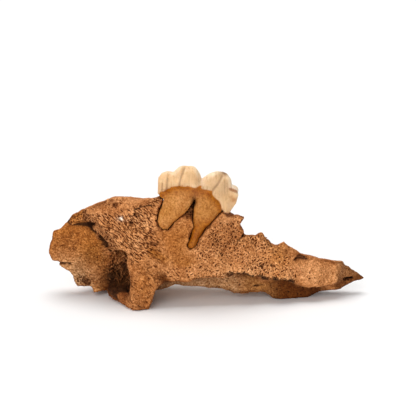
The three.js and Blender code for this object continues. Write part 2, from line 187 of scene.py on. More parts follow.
def ripple(x, y, z, size):
    """A soft random swell from -1 to 1 whose humps are about the given size."""
    x, y, z = np.broadcast_arrays(x / size, y / size, z / size)
    base = [np.floor(v) for v in (x, y, z)]
    t = [smoothstep(0, 1, v - b) for v, b in zip((x, y, z), base)]
    total = np.zeros(x.shape)
    for i, j, k in CORNERS:
        seed = (base[0] + i) * SCATTER[0] + (base[1] + j) * SCATTER[1] + (base[2] + k) * SCATTER[2]
        value = np.sin(seed) * SCATTER_REACH
        share = [t[a] if bit else 1 - t[a] for a, bit in enumerate((i, j, k))]
        total += share[0] * share[1] * share[2] * (value - np.floor(value))
    return total * 2 - 1


def strayed(x, z, wander, layers):
    """The place (x, z) pushed about a little, so that an outline drawn through it comes out ragged."""
    reach, size = wander
    return x + reach * ripple(x, layers[0], z, size), z + reach * ripple(x, layers[1], z, size)


class Clay:
    """A body held as distances on a grid, which forms are joined to and cut from."""

    def __init__(self, low, high, cell):
        self.low, self.cell = np.array(low, float), cell
        count = np.ceil((np.array(high) - self.low) / cell).astype(int) + 1
        axes = [self.low[a] + cell * np.arange(count[a]) for a in range(3)]
        self.x, self.y, self.z = axes[0][:, None, None], axes[1][None, :, None], axes[2][None, None, :]
        self.count = count
        self.value = None

    def near(self, low, high, margin):
        """The slices of the grid that a form's box covers, and their coordinates."""
        first = np.maximum(np.floor((low - margin - self.low) / self.cell).astype(int), 0)
        last = np.minimum(np.ceil((high + margin - self.low) / self.cell).astype(int) + 1, self.count)
        part = tuple(slice(a, b) for a, b in zip(first, last))
        return part, (self.x[part[0]], self.y[:, part[1]], self.z[:, :, part[2]])

    def join(self, form, k):
        distance, low, high = form
        part, at = self.near(low, high, 3 * k + 1)
        self.value[part] = join(self.value[part], distance(*at), k)

    def carve(self, form, k):
        distance, low, high = form
        part, at = self.near(low, high, k + 1)
        self.value[part] = cut(self.value[part], -distance(*at), k)

    def roughen(self, depth, swells):
        """Adds swells, as (height, size), near the surface only."""
        band = np.nonzero(np.abs(self.value) < depth)
        x, y, z = self.x[band[0], 0, 0], self.y[0, band[1], 0], self.z[0, 0, band[2]]
        for height, size in swells:
            self.value[band] += height * ripple(x, y, z, size)


# ------------------------------------------------------------------ the bone's shape

# The cheek wall seen from the side, as (x, z): down the broken ledge, round the spike, along the lower
# border, over the tip and back along the broken tooth row.
CHEEK = [
    (-38.6, 29.2), (-34.5, 26), (-31.2, 23.3), (-28.4, 19.9), (-25.4, 17.2), (-25, 14.3), (-24.8, 11.8),
    (-24.6, 8.7), (-24.9, 6.2), (-24.2, 3.3), (-23.2, 1), (-22.2, -0.4), (-21.4, -1.2), (-19.4, -1.2),
    (-18.3, 1), (-17.3, 2.9), (-16.3, 5.2), (-15, 7), (-13, 8.3), (-8.8, 8.4), (-2.2, 8.9), (7.6, 9.8),
    (12.3, 10.2), (17.8, 8.6), (25.8, 7.6), (28.6, 5.7), (31, 4.9), (35.6, 4.6), (39.6, 5), (42.3, 5.8),
    (42, 7.8), (43.9, 11.2), (39.6, 12.5), (35.6, 13.7), (31.7, 14.7), (29.7, 15.8), (27.7, 16.9),
    (25.7, 18.4), (24.5, 19.5), (23.4, 18.7), (22.4, 18), (21.2, 18.3), (19.8, 20.2), (18.5, 21.7),
    (17.5, 22.9), (16.3, 22.5), (15.3, 21.9), (13.4, 22.1), (11.4, 22.4), (11.1, 24.1), (10.2, 25.4),
    (11.3, 27), (12, 28.6), (8.6, 29), (6.6, 29), (1.5, 32), (-6, 34), (-11.5, 36.8), (-13.4, 36.8),
    (-16.3, 35.4), (-18.4, 34), (-20.5, 33), (-24.7, 32.3), (-30.9, 32.6), (-34.8, 31.6)]
# How far back its face lies, as (x, z, y).
CHEEK_FACE = [
    (-20, 0, 0), (-19, 7, 0.2), (-21, 13, 1), (-25, 20, 3), (-31, 24, 6), (-37, 28.5, 9.5), (-36, 31, 14),
    (-28, 32.5, 13), (-20, 32.3, 9), (-16, 34, 7), (-24, 26, 5.5), (-15, 24, 3.5), (-12, 16, 2.2),
    (-9, 30, 3.6), (-3, 20, 3.8), (0, 28, 4.2), (4, 30, 5.5), (10, 25, 7.5), (8, 18, 6.8), (3, 11, 3.6),
    (-6, 10, 2.4), (12, 9.5, 4.2), (16, 21, 9), (24, 17, 10.5), (20, 12, 7.5), (23, 7, 5.4), (32, 12, 10.5),
    (33, 6, 7.8), (42, 10, 12.5), (41, 4, 10.5)]
# The inner wall of the eye socket, as (x, z), and how far back its hollow face lies.
ORBIT = [
    (-38.7, 28.6), (-40.8, 28.5), (-42.4, 28.7), (-44.4, 27.8), (-45.6, 26.3), (-46.6, 24.4), (-48.1, 23),
    (-50.1, 21.2), (-50.8, 19.5), (-51.5, 17.8), (-52.1, 15.8), (-52.1, 13.7), (-51.3, 11.7), (-50, 10.7),
    (-48.5, 9.5), (-46.9, 8.4), (-45.7, 7.7), (-44.7, 6.4), (-44, 4.7), (-42.9, 3.3), (-40.9, 2.8),
    (-38.7, 2.3), (-37.7, 1), (-36.3, 1.4), (-34.7, 1.5), (-31, 0.6), (-24, 0.6), (-12, 6), (8, 8), (8, 26),
    (-20, 29)]
ORBIT_FACE = [
    (-42, 27.5, 13), (-48, 22.5, 15), (-51.5, 15, 15.5), (-47, 9, 15.5), (-42, 2.5, 14.5), (-36, 0.5, 12.5),
    (-44, 17, 17), (-38, 20, 16), (-34, 23, 14), (-31.5, 18, 16.5), (-36, 12, 18), (-33, 12, 19.5),
    (-30, 14, 20.5), (-29.5, 9, 22), (-38, 7, 17), (-33, 5, 18.5), (-20, 10, 22), (-10, 15, 22),
    (-28, 1, 13)]
# The palate from above, as (x, y), and the height of its vault, as (x, y, z).
PALATE = [
    (-38, 13), (-41, 20), (-38, 28), (-31, 33), (-22, 34.5), (-12, 33), (0, 34), (11, 31), (19, 27),
    (26, 20), (14, 11), (-16, 8)]
VAULT = [
    (-38, 20, 27), (-34.5, 19, 30.6), (-31, 19, 32), (-26, 18, 31.9), (-19, 14, 32.2), (-18, 24, 29.7),
    (-33, 29, 27.6), (-10, 31, 26.5), (-3, 25, 30), (6, 24, 24.6), (12, 20, 17.8), (22, 19, 14.6),
    (3, 32, 23.4), (16, 27, 15)]
# The band under the lower border, as (x, z), which turns in below the cheek wall and meets the ground.
KEEL = [
    (-19.5, 12), (-18.5, 2.4), (-15, 2.5), (-12.9, 3.4), (-10.8, 4.8), (-5.6, 4.5), (0, 3.6), (6.8, 3.2),
    (8, 2), (12, 1.7), (17.9, 2.3), (19, 1.7), (21, -0.4), (24, -1.4), (31, -1.4), (36.5, 0.9), (44.7, 2.4),
    (47, 3), (52.6, 3.6), (50.9, 5.6), (49.4, 7.1), (47.4, 8.9), (45.4, 10.4), (43.4, 11.3), (38, 12.2),
    (30, 13.2), (20, 15.5), (0, 18)]
# The crest behind the eye socket that the jaw's back corner stands on, as (x, z).
HEEL = [
    (-42, 14), (-39, 6), (-36.5, 0.4), (-34.5, -1.4), (-27, -1.4), (-24.5, 2), (-18, 5), (-10, 14),
    (-20, 24)]
# Where the teeth in front of the molar stood, as (x, y, floor, radius).
EMPTY_SOCKETS = [(13.6, 15.5, 14, 3), (21.3, 16, 11, 2.4), (27.5, 16.5, 10, 1.6)]
# Where the wall has broken away between the molar's roots, as (x, z), and how deep.
RECESS = [
    (-8.6, 29), (-7.5, 29.8), (-6.7, 28.7), (-5.8, 29.1), (-4.8, 27.7), (-3.4, 28.6), (-3.4, 36), (-9, 36)]
RECESS_DEPTH = 2.4

# Rounded forms that fill the bone out.
TOOTH_ROW = lump((-4.5, 15, 23), (15.5, 10.5, 9), 10)
POCKET_CORNER = lump((-26, 17, 26), (12, 8, 5), -4)
SNOUT = limb((3, 16.5, 13), (22, 16.5, 9.5), 8, 6.2)
POCKET_LIP = limb((-22.5, 0.8, 1.5), (-31, 12.5, 1.8), 1.9, 1.8)
POCKET_FLOOR = lump((-25, 14, 3), (8, 9, 1.8))
SOCKET_FOLD = limb((-44, 13.4, 25.2), (-38.8, 12.3, 26.9), 1.2, 1.3)
# Rounded forms that hollow it: the pocket behind the ledge, the hollow of the nose, the groove under
# the fold and the dark gap behind the ledge.
POCKET_HOLLOW = limb((-30, 12.5, 10), (-15, 13.5, 11.5), 6, 4)
NOSE_HOLLOW = lump((2, 37, 13.5), (24, 17, 8.5), -5)
FOLD_GROOVE = limb((-43, 13.3, 23.4), (-36, 12.2, 25.1), 0.5, 1.2)
LEDGE_GAP = limb((-37.5, 14.2, 24.2), (-31, 15.2, 17.8), 0.9, 2)

# Larger pores and holes, as (x, y, z, radius).
HOLES = [
    (-22.6, 6.9, 29, 0.8), (-29.6, 11.1, 31.3, 0.8), (-30.7, 12.1, 32.7, 0.6), (-33, 12.8, 32.2, 0.5),
    (-17.6, 3.7, 20.6, 0.6), (-16.7, 3.7, 20.2, 0.5), (-24.1, 5.6, 26.7, 0.6), (-42.2, 15.5, 6.1, 0.5),
    (-39.6, 15.6, 4.3, 1), (-40.9, 15.5, 5.1, 0.7), (7.6, 5.2, 8.9, 0.5), (9.8, 5, 9.3, 0.45),
    (12.3, 4.9, 9.5, 0.6), (15.2, 5.8, 8.8, 0.7), (17.9, 6.6, 7.6, 0.7), (20.4, 6.6, 7.4, 0.5),
    (23.2, 6.4, 7.2, 0.5), (25.8, 6.6, 6.9, 0.5), (17.1, 7.4, 12.2, 0.5), (20.9, 7.6, 12.2, 0.45),
    (6.7, 5.6, 25.1, 0.5), (10.7, 5.6, 17.4, 0.45), (20.4, 9, 5, 0.5), (-12.3, 3.4, 36.2, 0.6),
    (-14, 4, 34.9, 0.5)]
# Cracks, as the path in (x, z), the two widths, and the depths they run from and to.
CRACKS = [
    ([(-50.5, 10.8), (-47.6, 10.9), (-45, 10.7)], 1.1, 0.4, 10, 18.4),
    ([(11.4, 22.4), (9.3, 20.4)], 0.7, 0.4, 4, 9),
    ([(27.9, 13.7), (29, 14.2), (31.8, 13.7)], 0.3, 0.2, 8, 10.4),
    ([(28.9, 15), (30.2, 14.6), (31.2, 14.3)], 0.2, 0.2, 8, 10.4),
    ([(14.9, 5), (18, 5.5)], 0.8, 0.8, 7, 12.5),
    ([(44.5, 5.9), (47.6, 5.9)], 0.8, 0.5, 12, 18)]


def cheek_face(x, z):
    """How far back the cheek wall's outer face lies."""
    return relief(CHEEK_FACE, x, z)


def drawn_in(y, face, where):
    """How far an outline shrinks behind its face, where where is 1."""
    return TOP_TAPER * np.maximum(0, y - face - 0.8) * where


def ledge(x, z):
    """1 along the broken edge over the eye socket, less towards its upright end, 0 elsewhere."""
    along = (1 - smoothstep(-31, -25, x)) * (1 - smoothstep(28.5, 31, z))
    return along * mix(0.3, 1, smoothstep(14.5, 18.5, z))


def cheek_wall(x, y, z, rim):
    """The cheek wall, with its broken ledge, inside an outline drawn through the strayed place rim."""
    wall = mix(CHEEK_WALL, LEDGE_WALL, smoothstep(-18, -26, x))
    face = cheek_face(x, z)
    upper = smoothstep(-2, 2, z - 18.5 + 0.26 * x)
    edge = outline(CHEEK, *rim) + drawn_in(y, face, upper)
    broken = ledge(x, z)
    bevel = LEDGE_BEVEL * broken * np.maximum(0, edge + 0.3)
    return cut(edge - LEDGE_REACH * broken, np.maximum(face + bevel - y, y - face - wall), 0.8)


def orbit_wall(x, y, z, rim):
    """The inner wall of the eye socket."""
    face = relief(ORBIT_FACE, x, z)
    edge = outline(ORBIT, *rim) + drawn_in(y, face, smoothstep(14, 18, z))
    return cut(edge, plate(y, face, SOCKET_WALL), 1)


def palate_roof(x, y, z):
    """The plate of the palate, under its vault."""
    vault = relief(VAULT, x, y)
    edge = outline(PALATE, x + 0.4 * ripple(x, y, 1.1, 2.6), y)
    return cut(edge, plate(z, vault - PALATE_PLATE, PALATE_PLATE), 1.6)


def keel_band(x, y, z):
    """The band under the lower border."""
    front = mix(9.5, 13, smoothstep(15, 44, x)) + 0.5 * np.maximum(0, x - 43)
    back = mix(24, 19.5, smoothstep(5, 50, x))
    rise = 0.22 * np.maximum(0, y - 12.5) * (1 - smoothstep(4, 9, z))  # towards the palate side
    edge = outline(KEEL, x + 0.3 * ripple(x, y, 5, 2), z - rise) + drawn_in(y, front, smoothstep(6, 9, z))
    return cut(edge, cut(front - y, y - back, 1.4), mix(2.4, 0.9, smoothstep(34, 44, x)))


def heel_crest(x, y, z):
    """The crest behind the eye socket."""
    return cut(outline(HEEL, x, z), plate(y, 21.1 - 0.12 * z, HEEL_PLATE), 2)


def root_window(x, y, z, gap):
    """Where the wall has broken off the roots."""
    roots = np.minimum(outline(ROOT_BACK, x, z), outline(ROOT_FRONT, x, z)) - gap
    jagged = 0.45 * ripple(x, y, z, 1.9) + 0.25 * ripple(x, y, z, 0.9)
    return np.maximum(roots + jagged - 0.1, y - cheek_face(x, z) - 1.2)


def model_bone():
    """Joins the walls, hollows them, weathers the surface and opens the molar's sockets."""
    clay = Clay(*BONE_SPACE, BONE_CELL)
    x, y, z = clay.x, clay.y, clay.z
    rim = strayed(x, z, RIM_WANDER, (3.3, 7.7))
    wall = join(cheek_wall(x, y, z, rim), keel_band(x, y, z), 3.5)
    clay.value = join(join(wall, orbit_wall(x, y, z, rim), 1.5), palate_roof(x, y, z), 3).astype(np.float32)
    for form, fillet in ((TOOTH_ROW, 3), (POCKET_CORNER, 2.5), (SNOUT, 3), (POCKET_LIP, 1.6)):
        clay.join(form, fillet)
    clay.value = join(clay.value, heel_crest(x, y, z), 3).astype(np.float32)
    clay.join(POCKET_FLOOR, 1.5)
    clay.carve(POCKET_HOLLOW, 1.5)
    clay.carve(NOSE_HOLLOW, 2)
    clay.join(SOCKET_FOLD, 1)
    clay.carve(FOLD_GROOVE, 0.5)
    clay.carve(LEDGE_GAP, 0.8)
    recess = np.maximum(outline(RECESS, *rim), y - cheek_face(x, z) - RECESS_DEPTH)
    clay.value = cut(clay.value, -recess, 0.4)
    for path, wide, narrow, front, back in CRACKS:
        clay.carve(slit(path, wide, narrow, front, back), 0.2)
    for sx, sy, floor, r in EMPTY_SOCKETS:
        clay.carve(limb((sx, sy, floor + r), (sx + 1.5, sy, floor + 16), r, r), 1)
    clay.roughen(3, [(WEATHERING, 7), (WEATHERING / 2, 3.4), (0.14, 1.6)])
    for hx, hy, hz, r in HOLES:
        clay.carve(lump((hx, hy, hz), (r, r * 1.6, r)), 0.25)
    gap = SOCKET_GAP * (1 + 1.2 * ripple(x, y, z, 1.7))
    clay.value = cut(clay.value, gap - molar_field(x, y, z), 0.2)
    clay.value = cut(clay.value, -root_window(x, y, z, gap), 0.2)
    clay.value = np.maximum(clay.value, -clay.z).astype(np.float32)  # flat where it stands
    return clay


# ------------------------------------------------------------------ the molar's shape

# The cheek side's cusps over the neck of the tooth, as (x, z).
CUSPS = [
    (-15.9, 35.2), (-15.7, 40), (-14.6, 42), (-12.8, 42.8), (-10.9, 42.3), (-9, 44.4), (-6.2, 46.1),
    (-4, 44.6), (-2.5, 41.4), (-2, 39.8), (0.5, 41.7), (2.8, 42.7), (4.9, 42.9), (6.1, 41.8), (7.2, 40),
    (7.5, 37.5), (9.1, 36.5), (9.7, 35), (8.9, 32.3), (6.8, 29.3), (5, 29.4), (4.2, 31.6), (3.1, 33.9),
    (1.5, 35.7), (-0.3, 36.8), (-2.3, 37.4), (-4.7, 37.8), (-6.8, 38.4), (-8.8, 38.7), (-11.4, 38.2),
    (-13.5, 37)]
# How far back the enamel lies, as (x, z, y).
ENAMEL = [
    (-15.5, 36.5, 8), (-13, 37.5, 5.6), (-8.5, 39, 4.6), (-4, 38, 4.8), (-1.5, 37.5, 5.4), (2, 35.5, 4.8),
    (5, 32.5, 5.6), (8.5, 31.5, 8), (-12.8, 42.3, 8.5), (-6.2, 44.6, 9.5), (-2, 40, 9), (4.9, 42.4, 9.5),
    (8.8, 35.8, 8.5), (-7, 42, 6.5), (3.5, 39, 6.2), (-12, 40, 6.2), (-9.8, 41.5, 7.4), (7.4, 37, 8.4)]
# The palate side's lower cusps, as (x, z).
INNER_CUSPS = [
    (-15, 33), (-15, 37), (-12, 39.4), (-7, 41), (-4.5, 40.4), (-2, 36.8), (0, 38), (3.5, 38.8), (6, 37),
    (8.2, 33), (7, 30.5)]
# The two roots that show, as (x, z).
ROOT_BACK = [
    (-12, 38.5), (-12.9, 36), (-13.9, 33.6), (-14.8, 31.3), (-15.5, 29.3), (-15.8, 27.4), (-15.2, 25.9),
    (-14.1, 24.9), (-12.6, 24.8), (-11.6, 25.9), (-10.3, 27.3), (-9, 28.6), (-7.5, 29.8), (-6.1, 31.4),
    (-4.8, 33.4), (-2, 38.5)]
ROOT_FRONT = [
    (-6.5, 38.5), (-3.9, 34.6), (-4.2, 32.2), (-4.4, 30.2), (-4.6, 28.3), (-4.4, 26.1), (-4.9, 24),
    (-5.7, 21.6), (-6.5, 20), (-6.3, 19), (-5.4, 18.6), (-4.3, 19.3), (-3.3, 20.4), (-2.9, 21.9),
    (-1.8, 23.4), (-1, 24.8), (0.5, 26.2), (1.6, 27.6), (2.6, 28.8), (4.1, 30.3), (4.3, 32.8), (1.5, 37)]

# The fine grooves between the cusps, as paths of (x, z).
GROOVES = [
    [(-7.4, 43.4), (-8.3, 41.4), (-8.9, 39)],
    [(4.4, 41), (2.8, 38.6), (0.8, 36.3)],
    [(-12.6, 40.6), (-12.9, 37.6)],
    [(-14.3, 39), (-14.4, 36.8)]]
GROOVE_DEPTH = 0.35
GROOVE_WIDTH = 0.55
ENAMEL_CRACK = [(6.9, 37), (9.2, 36)]


def crown_field(x, y, z):
    """The molar's crown: the tall cusps on the cheek side and the lower ones on the palate side."""
    groove = nearest_path(GROOVES, x, z)
    face = relief(ENAMEL, x, z) + GROOVE_DEPTH * np.exp(-(groove / GROOVE_WIDTH) ** 2)
    crest = 19.6 + 1.3 * np.exp(-((x + 6.3) / 3.2) ** 2)
    slope = y - (crest - 1.05 * (z - 34))
    crown = cut(outline(CUSPS, x, z), cut(face - y, slope * 0.76, 2), 1.3)
    inner = cut(y - 23.5 + 0.35 * (z - 34), 13 + 0.3 * (z - 34) - y, 2)
    wrinkled = 0.4 * ripple(x, y, z, 2.4) * smoothstep(9, 12.5, y)  # the grinding surface
    return join(crown, cut(outline(INNER_CUSPS, x, z), inner, 2.5), 1) + wrinkled


def root_field(x, y, z):
    """The two roots that show, the neck beside the crown and the inner root."""
    wall = cheek_face(x, z) - 0.45 + 0.2 * ripple(x, 0, z, 2.4)
    deep = mix(3.5, 10, smoothstep(18, 30, z))
    lobes = []
    for points in (ROOT_BACK, ROOT_FRONT):
        edge = outline(points, *strayed(x, z, ROOT_WANDER, (1, 5)))
        bulge = wall + 0.7 * (1 - smoothstep(0, 1.5, -edge))  # full in the middle and sunk at its edges
        lobes.append(cut(edge, cut(bulge - y, y - wall - deep, 1), 1))
    back, front = lobes
    inner, _, _ = limb((-4, 18.5, 33), (-5, 19.5, 22), 5, 2.2)
    neck, _, _ = limb((-14, 8.6, 35.4), (-10.5, 8.4, 35.8), 1.4, 2)
    return join(join(join(back, front, 0.6), neck(x, y, z), 0.8), inner(x, y, z), 1.5)


def molar_field(x, y, z):
    return join(crown_field(x, y, z), root_field(x, y, z), 0.6)


def model_molar():
    clay = Clay(*TOOTH_SPACE, TOOTH_CELL)
    clay.value = molar_field(clay.x, clay.y, clay.z).astype(np.float32)
    return clay


# ------------------------------------------------------------------ meshes

def skin(clay):
    """The surface where the clay's distance is zero: a vertex to each cell it crosses, and the quads."""
    value = clay.value
    inside = value < 0
    nx, ny, nz = (n - 1 for n in value.shape)
    held = sum(inside[i:i + nx, j:j + ny, k:k + nz].astype(np.int8) for i, j, k in CORNERS)
    cells = np.argwhere((held > 0) & (held < 8))
    total = np.zeros((len(cells), 3))
    crossings = np.zeros((len(cells), 1))
    for a in CORNERS:
        for axis in range(3):
            if a[axis]:
                continue
            b = tuple(1 if i == axis else a[i] for i in range(3))
            va = value[tuple((cells + a).T)]
            vb = value[tuple((cells + b).T)]
            crossed = ((va < 0) != (vb < 0))[:, None]
            share = np.where(crossed[:, 0], va / np.where(va == vb, 1, va - vb), 0)[:, None]
            total += crossed * (np.array(a) + (np.array(b) - a) * share)
            crossings += crossed
    places = clay.low + (cells + total / crossings) * clay.cell
    number = np.full(value.shape, -1, np.int64)
    number[tuple(cells.T)] = np.arange(len(cells))
    quads = []
    for axis in range(3):
        u, w = np.eye(3, dtype=int)[(axis + 1) % 3], np.eye(3, dtype=int)[(axis + 2) % 3]
        near = [slice(1, -1)] * 3
        far = [slice(1, -1)] * 3
        near[axis] = slice(0, -1)
        far[axis] = slice(1, None)
        crossed = inside[tuple(near)] != inside[tuple(far)]
        at = np.argwhere(crossed) + np.array([0 if a == axis else 1 for a in range(3)])
        round_it = ((0, 0), (1, 0), (1, 1), (0, 1))
        ring = np.stack([number[tuple((at - p * u - q * w).T)] for p, q in round_it], 1)
        flip = ~inside[tuple(at.T)]
        ring[flip] = ring[flip][:, ::-1]
        quads.append(ring)
    return places, np.concatenate(quads)


def in_frame(places):
    return (places - ORIGIN) * MM


def shade_smooth(mesh):
    mesh.polygons.foreach_set("use_smooth", np.ones(len(mesh.polygons), bool))


def mesh_object(name, places, faces):
    mesh = bpy.data.meshes.new(name)
    sides = faces.shape[1]
    mesh.vertices.add(len(places))
    mesh.vertices.foreach_set("co", in_frame(places).astype(np.float32).ravel())
    mesh.loops.add(faces.size)
    mesh.loops.foreach_set("vertex_index", faces.astype(np.int32).ravel())
    mesh.polygons.add(len(faces))
    mesh.polygons.foreach_set("loop_start", np.arange(0, faces.size, sides, dtype=np.int32))
    shade_smooth(mesh)
    mesh.update(calc_edges=True)
    obj = bpy.data.objects.new(name, mesh)
    bpy.context.scene.collection.objects.link(obj)
    return obj


# ------------------------------------------------------------------ zones of the bone's surface

# All as (x, z), seen from the cheek side.
PITTED_LEFT = [
    (-39, 28.8), (-33, 29.2), (-26.5, 29.6), (-21, 31.2), (-17.6, 34), (-14, 35.5), (-16.4, 30),
    (-16.6, 25), (-15, 21), (-17, 17.5), (-20, 15.5), (-24, 14), (-25.5, 17), (-29, 20), (-35, 26.5)]
PITTED_RIGHT = [
    (-5, 20.5), (-1, 23.5), (4, 28), (10, 26.5), (10, 22), (18, 23), (24, 19), (28, 13.5), (34, 10),
    (38, 6), (30, 5), (20, 8), (8, 9.5), (-4, 9), (-13, 9), (-14, 12.5), (-7, 14.5), (-4, 17)]
SMOOTH_UNDER_ROOTS = [
    (-14.5, 24), (-9, 27), (-5, 29), (-4.6, 24), (-6.5, 18), (-4, 14.5), (-10, 14.5), (-13, 18)]
CREVICE = [
    (-44.3, 24.9), (-41.4, 24.6), (-38.8, 24.7), (-37.7, 23.5), (-36.1, 21.8), (-34.4, 19.2), (-32.6, 16.1),
    (-30, 13.6), (-27.4, 11.9)]  # behind the ledge
POROUS_BORDER = [
    (-4, 9.2), (0, 9.8), (7.3, 10.3), (12.3, 9.9), (17.5, 8.4), (21.6, 8.1), (25.8, 7.5), (28.5, 6.4)]
CREASE = [(-17.5, 18.1), (-15.6, 16.9), (-13.1, 15.3), (-10, 14.6), (-6.9, 14.2)]  # under the molar
CREST = [(28, 15.6), (32, 14.5), (36.1, 13.5), (44, 11)]
TOP_GROOVE = [(-23.4, 30.3), (-20.9, 31.3), (-17.6, 32)]
POCKET = [
    (-33.6, 8), (-31.8, 9), (-29.6, 8.4), (-27.5, 11), (-25.5, 10), (-24, 12), (-20, 13), (-20, 2),
    (-29, 1), (-32.6, 2.2), (-34, 5)]
STRUTS = [(-33.5, 9), (-33, 13), (-31.5, 16), (-28, 16.5), (-23, 16.5), (-23, 11), (-27, 8), (-32, 7)]
GRAIN_LEFT = math.radians(-33)  # the way the pores run behind the molar
GRAIN_RIGHT = math.radians(52)  # and in front of it
GRAIN_CHANGES_AT = -8.0


def within(points, x, z, soft):
    """1 inside an outline and 0 outside it, with a soft border."""
    return 1 - smoothstep(-soft, soft, outline(points, x, z))


def spot(x, z, cx, cz, rx, rz, lean=0):
    """A soft round spot, 1 in its middle."""
    s, c = math.sin(math.radians(lean)), math.cos(math.radians(lean))
    dx, dz = x - cx, z - cz
    return np.exp(-((dx * c + dz * s) / rx) ** 2 - ((dz * c - dx * s) / rz) ** 2)


def on_cheek(x, y, z):
    """1 on the cheek's outer face, 0 elsewhere."""
    return 1 - smoothstep(0.9, 2.4, np.abs(y - cheek_face(x, z)))


def scoring(x, z):
    """The distance to the nearest thin dark line on the cheek."""
    return nearest_path([crack[0] for crack in CRACKS] + [TOP_GROOVE], x, z)


def porosity(x, y, z):
    """How open the pores are: 1 on the most porous parts of the cheek wall, 0 where there are none."""
    left = within(PITTED_LEFT, x, z, 1.4) * mix(1, 0.75, smoothstep(-21, -16, x))
    right = within(PITTED_RIGHT, x, z, 1.6) * mix(1, 0.5, smoothstep(18, 32, x))
    right = right * (1 - 0.45 * spot(x, z, 3, 13, 12, 3))
    gap = smoothstep(0.2, 1.4, np.abs(x - GRAIN_CHANGES_AT))
    some = 0.42 * (1 - smoothstep(24, 36, x)) * mix(0.4, 1, smoothstep(4, 9, z))
    some = some * (1 - 0.5 * smoothstep(29.5, 31, z))
    smooth = 1 - 0.8 * within(SMOOTH_UNDER_ROOTS, x, z, 1.5)
    return np.maximum(np.maximum(left, right), some) * on_cheek(x, y, z) * gap * smooth


def sponginess(x, y, z):
    """How far the bone is broken open, so that its spongy inside shows."""
    edge = outline(CHEEK, x, z)
    off_face = y - cheek_face(x, z)
    shallow = 1 - smoothstep(3.5, 5, off_face)
    face = smoothstep(-0.2, 0.5, edge) * smoothstep(0.1, 0.6, ledge(x, z)) * shallow
    border = 1 - smoothstep(0.3, 1.1, along_path(POROUS_BORDER, x, z)[0])
    border = border * (1 - smoothstep(3, 5, off_face))
    socket_floor = spot(x, z, -42, 4.6, 6, 3) * smoothstep(8, 11, y) * 0.85
    recess = within(RECESS, x, z, 0.5) * smoothstep(1, 2, off_face) * shallow
    corner = spot(x, z, -15.6, 34.4, 2.2, 1.6, 20) * (1 - smoothstep(1.5, 3, off_face))
    end = smoothstep(42.4, 43.6, x) * 0.45
    under = smoothstep(12, 9, z) * smoothstep(2.5, 4.5, off_face) * smoothstep(-4, 2, x) * 0.55
    inside = smoothstep(15, 19, y) * 0.6
    broken_open = within(STRUTS, x, z, 1.2) * smoothstep(4, 5.5, off_face)
    opened = [broken_open, face, border, socket_floor, recess, corner, end, under, inside]
    return np.clip(np.max(opened, axis=0), 0, 1)


def along_grain(x, y, z):
    """Coordinates that are squeezed along the way the pores run, so that round pores come out long."""
    bend = 0.8
    u = x + bend * ripple(x, y, z + 40, 9)
    v = z + bend * ripple(x + 40, y, z, 9)
    left = x < GRAIN_CHANGES_AT
    angle = np.where(left, GRAIN_LEFT, GRAIN_RIGHT)
    squeeze = np.where(left, 0.4, 0.7)
    along = u * np.cos(angle) + v * np.sin(angle)
    across = v * np.cos(angle) - u * np.sin(angle)
    return np.stack([along * squeeze, across, y], 1)


# ------------------------------------------------------------------ meshes with their marks

def rows(data, what):
    """The places or normals of a mesh's vertices or faces, a row to each."""
    values = np.zeros(len(data) * 3, np.float32)
    data.foreach_get(what, values)
    return values.reshape(-1, 3)


def millimetres(mesh):
    return rows(mesh.vertices, "co").astype(float) / MM + ORIGIN


def face_centres(mesh):
    return rows(mesh.polygons, "center") / MM + ORIGIN


def mark(mesh, name, values):
    """Stores a number, a vector or a colour at each vertex."""
    values = np.asarray(values, np.float32)
    if values.ndim == 1:
        mesh.attributes.new(name, "FLOAT", "POINT").data.foreach_set("value", values)
    elif values.shape[1] == 3:
        mesh.attributes.new(name, "FLOAT_VECTOR", "POINT").data.foreach_set("vector", values.ravel())
    else:
        mesh.attributes.new(name, "FLOAT_COLOR", "POINT").data.foreach_set("color", values.ravel())


def refine(obj, wanted):
    """Splits the edges of the faces where wanted, a rule on millimetres, is true."""
    mesh = obj.data
    chosen = wanted(*face_centres(mesh).T)
    bm = bmesh.new()
    bm.from_mesh(mesh)
    bm.faces.ensure_lookup_table()
    edges = {e for i in np.nonzero(chosen)[0] for e in bm.faces[i].edges}
    bmesh.ops.subdivide_edges(bm, edges=list(edges), cuts=1, use_grid_fill=True)
    bm.to_mesh(mesh)
    bm.free()
    shade_smooth(mesh)


def sampled(clay, places):
    """The clay's distance at any places, read between its grid points."""
    at = np.clip((places - clay.low) / clay.cell, 0, clay.count - 1.001)
    base = at.astype(int)
    t = at - base
    total = 0
    for corner in CORNERS:
        share = np.prod(np.where(corner, t, 1 - t), axis=1)
        total = total + share * clay.value[tuple((base + corner).T)]
    return total


def nearness(clay, places, step):
    """From 0 to 1: how much nearer the surface is than the step, which is below zero outside the bone."""
    return np.clip(1 + sampled(clay, places) / step, 0, 1)


def shut_in(clay, places, outward, reach):
    """How far the bone closes round each place: 0 in the open, towards 1 at the bottom of a hollow."""
    steps = [reach * share for share in (0.35, 0.7, 1)]
    return np.mean([nearness(clay, places + outward * step, -step) for step in steps], axis=0)


def standing_out(clay, places, inward, reach):
    """How thin the bone is under each place: 0 on a flat, towards 1 on a sharp edge or a knob."""
    steps = [reach * share for share in (0.5, 1)]
    return np.mean([nearness(clay, places + inward * step, step) for step in steps], axis=0)


